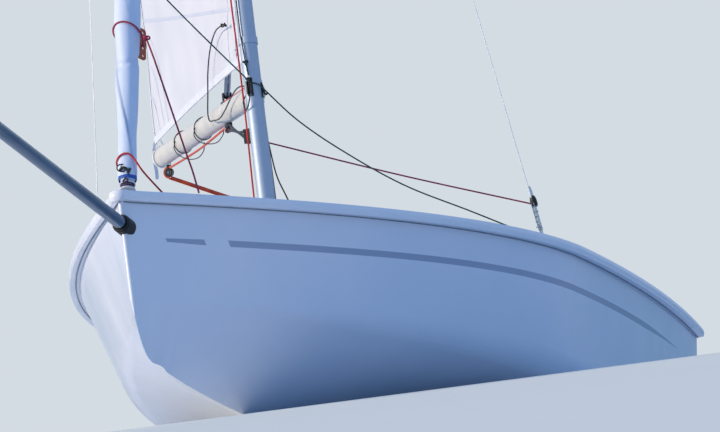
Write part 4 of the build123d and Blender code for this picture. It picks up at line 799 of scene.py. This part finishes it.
# Clew strap. Flat white polyester tape, tied through the clew's eye and round the boom, so that
# it can slide out and in along it; its tail is left long.
tape_white = finish("white_tape", ("#E4E6EA", "#F1F2F4"), (0.6, 0.75), 0.008, 0.0005)[0]
loop = [BOOM @ Vector((0.0330 * math.cos(a), 2.418 + 0.004 * math.sin(a), 0.0405 * math.sin(a)))
        for a in [math.radians(60 + 360 * step / 40) for step in range(41)]]
boom_way = BOOM.to_3x3()
along = boom_way @ Vector((0, 1, 0))
strap = ribbon("clew_band", loop, along, 0.020, 0.0014, tape_white, "boom", 0.006)
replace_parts(strap, "clew_strap")
tail = corners_in(BOOM, ((-0.006, 2.432, 0.062), (-0.010, 2.466, 0.066), (-0.014, 2.492, 0.046),
                         (-0.014, 2.510, 0.016), (-0.012, 2.524, -0.020), (-0.010, 2.520, -0.050),
                         (-0.012, 2.512, -0.074)))
ribbon("clew_tail", tail, boom_way @ Vector((0.9, 0.2, 0)), 0.014, 0.0016, tape_white, "boom", 0.008)
lashing = corners_in(BOOM, ((0.012, 2.420, 0.038), (0.004, 2.424, 0.062), (-0.003, 2.428, 0.080),
                            (-0.010, 2.424, 0.060), (-0.018, 2.420, 0.036)))
ribbon("clew_lashing", lashing, along, 0.016, 0.0016, tape_white, "boom", 0.006)


# Mainsheet. Orange braid: one part runs under the boom from the block near the mast to the
# one at its end; from there it goes down to a bridle across the transom, taut.
orange_line = braid("orange_line", "#F45A2C", "#C03C18")
red_line = braid("red_line", "#E23030", "#9E1C20")
dark_line = braid("dark_line", "#2A3440", "#101419")
green_line = braid("green_line", "#1E5B4E", "#123A34")
crimson_line = braid("crimson_line", "#C42C50", "#8A2040")
MAINSHEET, CONTROL_LINE, ADJUSTER_LINE, LIGHT_LINE = 0.008, 0.006, 0.0055, 0.005
MAST_LINE, TIE_CORD, KICKER_STROP = 0.0045, 0.0038, 0.010
round_mid = corners_in(MID_BLOCK, ((0, 0.004, -0.012), (0, -0.010, -0.006), (0, -0.008, 0.008),
                                   (0, 0.020, 0.0085)))
under_boom = corners_in(BOOM, ((0, 1.447, -0.0600), (0.002, 2.225, -0.0560)))
round_end = [END_BLOCK @ Vector((0, 0.0195 * math.sin(a), 0.0195 * math.cos(a)))
             for a in [math.radians(-10 + 17.5 * step) for step in range(12)]]
tube("mainsheet_on_boom", round_mid + under_boom + round_end, MAINSHEET, orange_line, "boom", 0.006)
apex = Vector((0, 2.100, 0.680))
block_low = END_BLOCK @ Vector((0, -0.002, -0.0198))
for index, off in enumerate((Vector((0.0044, 0, 0.0016)), Vector((-0.0044, 0.003, -0.0016)))):
    line = [block_low + off, block_low.lerp(apex, 0.5) + off, apex + off]
    fall = tube("mainsheet_fall_%d" % index, line, MAINSHEET, orange_line, None)
    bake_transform(fall)
turned("bridle_block", [(0.016, -0.007), (0.0185, -0.004), (0.014, 0.0), (0.0185, 0.004), (0.016, 0.007)],
       Matrix.Translation(apex) @ spin(90, "Y"), moulded_black, "hull", 30)
for side, label in SIDES:
    eye = Vector((side * 0.52, 2.12, sheer(2.12) + 0.022))
    tube("bridle_" + label, [apex + Vector((side * 0.010, 0, -0.012)), eye + Vector((0, 0, 0.008))],
         CONTROL_LINE, dark_line, "hull", 0.05)
finish_node("bridle_eyes", steel)


# Control lines on the boom and the sail. A long slack loop of thin cord hangs from the luff
# down over the boom, thin ties are wound round the boom, and a red line lies along its top.
def slack_line(name, corners, diameter, material, body, spacing=0.02, sides=10):
    """A rope held at both ends, along a smooth line through the corners, which give its sag."""
    rope = tube(name, corners, diameter, material, body, spacing, sides)
    path = line_through(corners, spacing)


downhaul = corners_in(SWING, ((-0.045, 0.329, 0.325), (-0.045, 0.500, 0.345), (-0.045, 0.655, 0.322),
                              (-0.045, 0.760, 0.270), (-0.045, 0.819, 0.204), (-0.045, 0.869, 0.147),
                              (-0.047, 0.840, 0.115), (-0.047, 0.760, 0.094), (-0.047, 0.597, 0.062),
                              (-0.047, 0.430, 0.058), (-0.047, 0.309, 0.061), (-0.047, 0.200, 0.058),
                              (-0.047, 0.126, 0.050), (-0.036, 0.085, 0.045), (-0.024, 0.062, 0.030)))
slack_line("downhaul_loop", downhaul, LIGHT_LINE, dark_line, "boom")


def knot(name, place, size, diameter, material, body):
    """A small overhand knot: a trefoil of rope drawn tight."""
    turns = [math.tau * step / 36 for step in range(37)]
    trefoil = [Vector((math.sin(a) + 1.4 * math.sin(2 * a), math.cos(a) - 1.4 * math.cos(2 * a),
                       -1.1 * math.sin(3 * a))) for a in turns]
    tube(name, [place @ (point * size) for point in trefoil], diameter, material, body, 0.003, 8)


knot("downhaul_knot", SWING @ shift(-0.040, 0.322, 0.322), 0.0042, LIGHT_LINE, dark_line, "boom")
for index, (out, low, tail) in enumerate(((1.845, 1.720, -0.086), (1.325, 1.235, -0.076))):
    coil = []
    for step in range(33):
        a = math.radians(100 + 400 * step / 32)
        back = out - 0.040 * step / 32 - 0.006 * math.sin(a) ** 2
        coil.append(BOOM @ Vector((0.0335 * math.cos(a), back, 0.0405 * math.sin(a))))
    tube("boom_tie_%d" % index, coil, TIE_CORD, dark_line, "boom", 0.008, 8)
    bight = corners_in(BOOM, ((-0.034, out - 0.04, 0.004), (-0.036, out - 0.01, -0.018),
                              (-0.030, out - 0.06, -0.046), (-0.012, low - 0.04, tail + 0.012),
                              (0.0, low - 0.22, tail), (0.006, low - 0.33, tail + 0.016),
                              (0.004, low - 0.37, -0.046)))
    slack_line("boom_tie_bight_%d" % index, bight, TIE_CORD, dark_line, "boom", 0.012, 8)
outhaul = corners_in(BOOM, ((0.0, 0.765, 0.0425), (0.0, 0.55, 0.0415), (0.0, 0.346, 0.0418),
                            (-0.008, 0.12, 0.0405), (-0.012, 0.050, 0.0380)))
tube("outhaul_on_boom", outhaul, CONTROL_LINE, red_line, "boom")
fitting = BOOM @ Vector((0, 0.720, -0.050))
lead = MAST @ Vector((-0.048, 0.016, 0.395))
middle = lead.lerp(fitting, 0.5) + Vector((0, 0, -0.004))
for index, (rise, drop) in enumerate(((0.016, 0.012), (-0.016, -0.010))):
    line = [lead + Vector((0, 0, rise)), middle, fitting + Vector((0, 0, drop - 0.002))]
    kicker = tube("kicker_strop_%d" % index, line, KICKER_STROP, moulded_black, None)
    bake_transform(kicker)
block("kicker_lug", (0.020, 0.052, 0.018), BOOM @ shift(0, 0.722, -0.0440), moulded_black, "boom", 0.004)


# Halyards and control lines at the mast. Braided polyester, close along the tube, a red one on
# the starboard side and a dark one on the front; their tails drop through the deck aft.
# The halyard stands off the tube by up to a millimetre, more at some heights than at others.
halyard = ((-0.024, 5.90), (-0.024, 4.60), (-0.022, 3.0), (-0.022, 1.60), (-0.024, 0.859),
           (-0.019, 0.686), (-0.013, 0.576), (-0.013, 0.443), (-0.019, 0.337), (-0.022, 0.174),
           (-0.024, 0.020))
tube("red_halyard", [MAST @ Vector((-0.0345 - 0.001 * abs(math.sin(z * 9)), y, z)) for y, z in halyard],
     CONTROL_LINE, red_line, "hull", 0.05)
front = ((-0.004, 4.40), (-0.006, 2.6), (-0.010, 1.2), (-0.011, 0.745), (-0.007, 0.675),
         (-0.003, 0.618), (0.001, 0.585))
tube("front_line", [MAST @ Vector((x, -0.0395, z)) for x, z in front], MAST_LINE, dark_line, "hull", 0.05)
knot("front_knot", MAST @ shift(-0.004, -0.0415, 0.630) @ spin(90, "X"), 0.0036, MAST_LINE, dark_line,
     "hull")
tail = corners_in(MAST, ((0.001, -0.047, 0.575), (0.001, -0.046, 0.545), (-0.001, -0.0445, 0.515),
                         (-0.010, -0.045, 0.480), (-0.024, -0.034, 0.470), (-0.0345, -0.020, 0.500),
                         (-0.034, 0.010, 0.530)))
slack_line("cleat_tail", tail, MAST_LINE, dark_line, "hull", 0.01)
tail_a = corners_in(MAST, ((0.010, 0.052, 0.455), (0.009, 0.060, 0.419), (0.009, 0.062, 0.341),
                           (0.012, 0.060, 0.174), (0.012, 0.056, 0.010)))
tail_b = corners_in(MAST, ((0.014, 0.050, 0.360), (0.026, 0.060, 0.248), (0.048, 0.066, 0.178),
                           (0.075, 0.070, 0.100), (0.118, 0.075, 0.008)))
slack_line("halyard_tail_a", tail_a, LIGHT_LINE, dark_line, "hull")
slack_line("halyard_tail_b", tail_b, LIGHT_LINE, dark_line, "hull")


# Control lines to the side deck. Braided polyester, led from the mast and the rolled jib: a
# dark green one sags over the port side, and a crimson one runs taut to the port adjuster.
port_lead = on_top("deck_moulding", 0.745, -0.270, 0.004)
green_start = STAY @ Vector((-0.004, -0.045, 0.850))
mast_front = MAST @ Vector((0.004, -0.040, 0.560))
sagged = green_start.lerp(mast_front, 0.5) + Vector((0, 0, -0.006))
tube("green_line_forward", [green_start, sagged, mast_front], LIGHT_LINE, green_line, "hull", 0.04)
begin, over = MAST @ Vector((0.030, -0.020, 0.548)), port_lead + Vector((0, 0, 0.012))
sag = [begin]
for share, drop in ((0.13, 0.050), (0.30, 0.072), (0.535, 0.072), (0.80, 0.030)):
    sag.append(begin.lerp(over, share) + Vector((0, 0, -drop)))
slack_line("green_line_aft", [mast_front, MAST @ Vector((0.020, -0.036, 0.556))] + sag + [over],
           LIGHT_LINE, green_line, "hull", 0.03)
low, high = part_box("shroud_adjuster_port")
crimson_end = Vector(((low.x + high.x) / 2 - 0.010, (low.y + high.y) / 2, high.z - 0.004))
crimson_start = MAST @ Vector((0.012, 0.052, 0.365))
sagged = crimson_start.lerp(crimson_end, 0.5) + Vector((0, 0, -0.006))
tube("crimson_line", [crimson_start, sagged, crimson_end], ADJUSTER_LINE, crimson_line, "hull", 0.04)


# Jib sheets. Red braid from the clew board down to the deck, and one turn of it round the
# roll; another red line lies over the foot of the roll and down to the foredeck.
def round_stay(degrees, radius, up):
    """The point at that angle round the stay, counted from the port side towards the stern."""
    a = math.radians(degrees)
    return STAY @ Vector((radius * math.cos(a), radius * math.sin(a), up))


clew = [Vector((x, -1.900, z))
        for x, z in ((0.067, 1.019), (0.076, 0.985), (0.086, 0.943), (0.136, 0.705), (0.156, 0.610),
                     (0.166, 0.566), (0.178, 0.492))]
tube("jib_sheet", clew, CONTROL_LINE, crimson_line, "hull", 0.02)
lap = ((60, 0.548, 0.060), (30, 0.556, 0.047), (0, 0.565, 0.0425), (-30, 0.576, 0.0425),
       (-60, 0.586, 0.0425), (-90, 0.592, 0.0425), (-120, 0.592, 0.0425), (-150, 0.586, 0.0425),
       (-180, 0.576, 0.0425), (-210, 0.566, 0.0425), (-240, 0.556, 0.0425), (-270, 0.549, 0.0425),
       (-300, 0.548, 0.058))
tube("jib_sheet_turn", [round_stay(a, r + 0.003, up) for a, up, r in lap], CONTROL_LINE, crimson_line,
     "hull", 0.008)
knot("clew_knot", Matrix.Translation(clew[0]), 0.0050, CONTROL_LINE, crimson_line, "hull")
over_roll = [round_stay(a, 0.0345, up)
             for a, up in ((130, 0.088), (170, 0.094), (205, 0.104), (240, 0.114), (270, 0.119),
                           (295, 0.118), (318, 0.110))]
to_deck = [Vector((0.052, -2.046, 0.566)), on_top("deck_moulding", 0.09, -1.99, 0.003)]
tube("bow_line", over_roll + to_deck, CONTROL_LINE, red_line, "hull", 0.008)


# Rudder and tiller. An alloy stock on stainless pintles carries the lifting blade; the
# tiller is an anodised tube with a carbon extension, which has a soft ribbed grip.
finish_node("rudder_gudgeons", steel)
finish_node("rudder_stock", finish("rudder_alloy", ("#A8B0B8", "#BCC4CC"), (0.26, 0.38), 0.05, 0.0001,
                                   Metallic=1.0)[0])
finish_node("rudder_blade", foil_paint)
finish_node("blade_bolt", steel)
finish_node("tiller", anodised)
finish_node("tiller_extension", finish("carbon_tube", ("#14161A", "#20242A"), (0.2, 0.3), 0.03,
                                       Coat_Weight=0.5)[0])
free_end, head = Vector((0, 2.204, 0.543)), Vector((0, 1.304, 0.583))
ribs = [(0.0100, -0.190)]
for step in range(22):
    ribs += [(0.0128, -0.186 + 0.0085 * step), (0.0112, -0.1815 + 0.0085 * step)]
turned("extension_grip", ribs + [(0.0128, 0.000), (0.0100, 0.003)],
       Matrix.Translation(free_end) @ aimed(free_end - head), rubber, "rudder", 28)
joint = [(0.0110, -0.014), (0.0125, -0.009), (0.0080, 0.000), (0.0125, 0.009), (0.0110, 0.014)]
turned("extension_joint", joint, shift(0, 1.304, 0.574), rubber, "rudder", 28)
turned("tiller_head_plug", [(0.0168, -0.002), (0.0168, 0.010), (0.0140, 0.014), (AXIS, 0.015)],
       shift(0, 1.284, 0.560) @ aimed(Vector((0, -0.998, 0.0625))), moulded_black, "rudder", 28)


# Cockpit gear. Screw-in inspection lids in the well's front wall, webbing toe straps under
# tension along the floor, a swivelling mainsheet base and two jib fairleads on the deck.
low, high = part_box("hatches")
depth = high.y - low.y
lid = [(0.072, 0), (0.072, depth * 0.45), (0.0705, depth * 0.6), (0.0625, depth * 0.6),
       (0.0615, depth * 0.42), (0.0595, depth * 0.42), (0.0585, depth * 0.85), (0.040, depth)]
for side, label in SIDES:
    place = shift(side * 0.185, low.y, 0.280) @ UPRIGHT
    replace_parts(turned("hatch_" + label, lid, place, pale_plastic, "hull", 64), "hatches")
    for step in range(24):
        a = math.tau * step / 24
        block("hatch_rib_%s_%d" % (label, step), (0.010, 0.0024, 0.0024),
              place @ Matrix.Rotation(a, 4, "Z") @ shift(0.0500, 0, depth * 0.95), pale_plastic, "hull",
              0.0008)
    for step in range(2):
        block("hatch_grip_%s_%d" % (label, step), (0.030, 0.006, 0.006),
              place @ Matrix.Rotation(math.pi * step + 0.4, 4, "Z") @ shift(0.022, 0, depth),
              pale_plastic, "hull")

webbing, tree, shader = finish("webbing", ("#1A1C22", "#2A2D36"), (0.7, 0.85), 0.01, 0.0006,
                               Sheen_Weight=0.2)
place = add(tree, "ShaderNodeTexCoord")
# The weave's ribs lie across the strap, 2 mm apart; they are drawn 12 mm apart.
weave = add(tree, "ShaderNodeTexWave", {"Vector": place.outputs["Object"], "Scale": 26.0,
                                        "Distortion": 0.6}, bands_direction="Y")
bump = add(tree, "ShaderNodeBump", {"Height": weave.outputs["Fac"], "Distance": 0.0012})
tree.links.new(bump.outputs[0], shader.inputs["Normal"])
grey_stitch = finish("grey_stitch", ("#8C929C", "#A9AFB8"), (0.6, 0.8), 0.004, 0.0003)[0]
for side, label in SIDES:
    x = side * 0.170
    line = [(x, -0.596, 0.150), (x, -0.40, 0.147), (x, 0.20, 0.141), (x, 0.80, 0.139), (x, 1.50, 0.142),
            (x, 2.091, 0.150)]
    strap = ribbon("toe_strap_" + label, line, (1, 0, 0), 0.050, 0.003, webbing, "hull", 0.04)
    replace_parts(strap, "toe_straps")
    for number, (y, z) in enumerate(((-0.540, 0.1510), (2.030, 0.1505))):
        ends = [(x, y - 0.045, z + 0.0012), (x, y + 0.045, z + 0.0005)]
        ribbon("strap_doubling_%s_%d" % (label, number), ends, (1, 0, 0), 0.048, 0.003, webbing, "hull",
               0.03)
        for row in (-0.030, -0.024, 0.024, 0.030):
            ends = [(x - 0.020, y + row, z + 0.0030), (x + 0.020, y + row, z + 0.0030)]
            ribbon("strap_stitch_%s_%d_%d" % (label, number, round(row * 1000)), ends, (0, 1, 0), 0.002,
                   0.0008, grey_stitch, "hull", 0.02)
finish_node("mainsheet_base", moulded_black)
low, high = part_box("mainsheet_base")
base_top = Vector(((low.x + high.x) / 2, (low.y + high.y) / 2, high.z))
turned("base_swivel", [(0.024, -0.002), (0.026, 0.002), (0.022, 0.008), (0.012, 0.012)],
       Matrix.Translation(base_top), steel, "hull")
for side in (1, -1):
    turned("base_cheek_%d" % (side > 0), [(0.024, -0.002), (0.026, 0.001), (0.020, 0.003)],
           Matrix.Translation(base_top + Vector((side * 0.009, 0, 0.034))) @ spin(90 * side, "Y"),
           moulded_black, "hull")
turned("base_sheave", [(0.022, -0.006), (0.017, 0.0), (0.022, 0.006)],
       Matrix.Translation(base_top + Vector((0, 0, 0.034))) @ spin(90, "Y"), pale_plastic, "hull")
for label in ("port", "starboard"):
    finish_node("jib_fairlead_" + label, moulded_black)


# The studio. A pale floor at the waterline, which falls away ahead of the boat so that the low
# camera sees the hull, a warm lamp on the starboard bow and an even, cool blue fill.
SLOPE_HEADING = Vector((0.317, -0.948, 0))
SLOPE_CREST = 0.7
SLOPE_ANGLE = math.radians(11)
SLOPE_ROUNDING = 0.5
FLOOR_REACH = 400.0


def floor_height(q):
    """The floor's height that far ahead: level, then rounded over into the slope."""
    over = (q - SLOPE_CREST) / SLOPE_ROUNDING
    soft = over if over > 30 else math.log1p(math.exp(over))
    return -math.tan(SLOPE_ANGLE) * SLOPE_ROUNDING * soft


rounded = [-3.0 + 0.1 * step for step in range(80)]
stations = [-FLOOR_REACH, -4.0] + rounded + [6.0, 8.0, 12.0, 20.0, 40.0, 200.0]
across = Vector((0, 0, 1)).cross(SLOPE_HEADING)
points = []
for q in stations:
    for p in (-FLOOR_REACH, FLOOR_REACH):
        place = SLOPE_HEADING * q + across * p
        points.append((place.x, place.y, floor_height(q)))
faces = [(2 * i, 2 * i + 1, 2 * i + 3, 2 * i + 2) for i in range(len(stations) - 1)]
floor_paint, tree, shader = finish("floor_paint", ("#CFD8E0", "#D8DFE6"), (0.85, 0.95), 1.5)
even = add(tree, "ShaderNodeEmission", {"Color": linear("#CBD4DC")})
path = add(tree, "ShaderNodeLightPath")
share = add(tree, "ShaderNodeMath", {0: path.outputs["Is Camera Ray"], 1: 0.6}, operation="MULTIPLY")
blend = add(tree, "ShaderNodeMixShader", {0: share.outputs[0], 1: shader.outputs[0], 2: even.outputs[0]})
tree.links.new(blend.outputs[0], tree.nodes["Material Output"].inputs["Surface"])
mesh_piece("floor", points, faces, floor_paint, None, sharp=180)

scene = bpy.context.scene
scene.view_settings.view_transform = "Standard"
world = bpy.data.worlds.new("sky")
scene.world = world
world.use_nodes = True
tree = world.node_tree
seen = add(tree, "ShaderNodeBackground", {"Color": linear("#D4DCE3"), "Strength": 1.0})
fill = tree.nodes["Background"]
fill.inputs["Strength"].default_value = 0.72
place = add(tree, "ShaderNodeTexCoord")
axes = add(tree, "ShaderNodeSeparateXYZ", {0: place.outputs["Generated"]})
height = add(tree, "ShaderNodeMapRange", {"Value": axes.outputs[2], "From Min": 0.0, "From Max": 1.0})
sky = add(tree, "ShaderNodeMix", {0: height.outputs[0], 6: linear("#8AB4F0"), 7: linear("#A9C9FA")},
          data_type="RGBA")
# A darker band low in the sky gives bright metal and gloss something to mirror.
low_sky = add(tree, "ShaderNodeMapRange", {"Value": axes.outputs[2], "From Min": 0.10, "From Max": 0.20})
mirrored = add(tree, "ShaderNodeMix", {0: low_sky.outputs[0], 6: linear("#7FA3BE"), 7: linear("#C3D9FA")},
               data_type="RGBA")
path = add(tree, "ShaderNodeLightPath")
glossy = add(tree, "ShaderNodeMix", {0: path.outputs["Is Glossy Ray"], 6: sky.outputs[2],
                                     7: mirrored.outputs[2]}, data_type="RGBA")
tree.links.new(glossy.outputs[2], fill.inputs["Color"])
either = add(tree, "ShaderNodeMath", {0: path.outputs["Is Camera Ray"],
                                      1: path.outputs["Is Transmission Ray"]}, operation="MAXIMUM")
blend = add(tree, "ShaderNodeMixShader", {0: either.outputs[0], 1: fill.outputs[0], 2: seen.outputs[0]})
tree.links.new(blend.outputs[0], tree.nodes["World Output"].inputs["Surface"])

sun = bpy.data.objects.new("key", bpy.data.lights.new("key", "SUN"))
sun.data.energy = 3.05
sun.data.angle = math.radians(6)
sun.data.color = linear("#FFEAD1")[:3]
toward = Vector((-0.80, -0.52, 0.26))
sun.rotation_mode = "QUATERNION"
sun.rotation_quaternion = toward.to_track_quat("Z", "Y")
bpy.context.collection.objects.link(sun)


# The camera. A long lens on the port bow, below the gunwale and looking up, rolled by as much as
# the boat heels in the photograph; the lens gives the photograph's scale at the boat.
CAMERA_AZIMUTH = math.radians(17.629)
CAMERA_ELEVATION = math.radians(-10.348)
CAMERA_ROLL = math.radians(7.515)
CAMERA_DISTANCE = 22.0
AIM_UP = 0.6862
PIXELS_PER_METRE = 291.02
PHOTO_WIDTH = 720

back = Vector((math.sin(CAMERA_AZIMUTH) * math.cos(CAMERA_ELEVATION),
               -math.cos(CAMERA_AZIMUTH) * math.cos(CAMERA_ELEVATION), math.sin(CAMERA_ELEVATION)))
level = Vector((0, 0, 1)).cross(back).normalized()
upright = back.cross(level)
right = level * math.cos(CAMERA_ROLL) - upright * math.sin(CAMERA_ROLL)
up = level * math.sin(CAMERA_ROLL) + upright * math.cos(CAMERA_ROLL)
camera = bpy.data.objects.new("camera", bpy.data.cameras.new("camera"))
camera.data.lens = camera.data.sensor_width * PIXELS_PER_METRE * CAMERA_DISTANCE / PHOTO_WIDTH
camera.data.clip_end = 1000
place = up * AIM_UP + back * CAMERA_DISTANCE
camera.matrix_world = Matrix.Translation(place) @ Matrix((right, up, back)).transposed().to_4x4()
bpy.context.collection.objects.link(camera)
scene.camera = camera
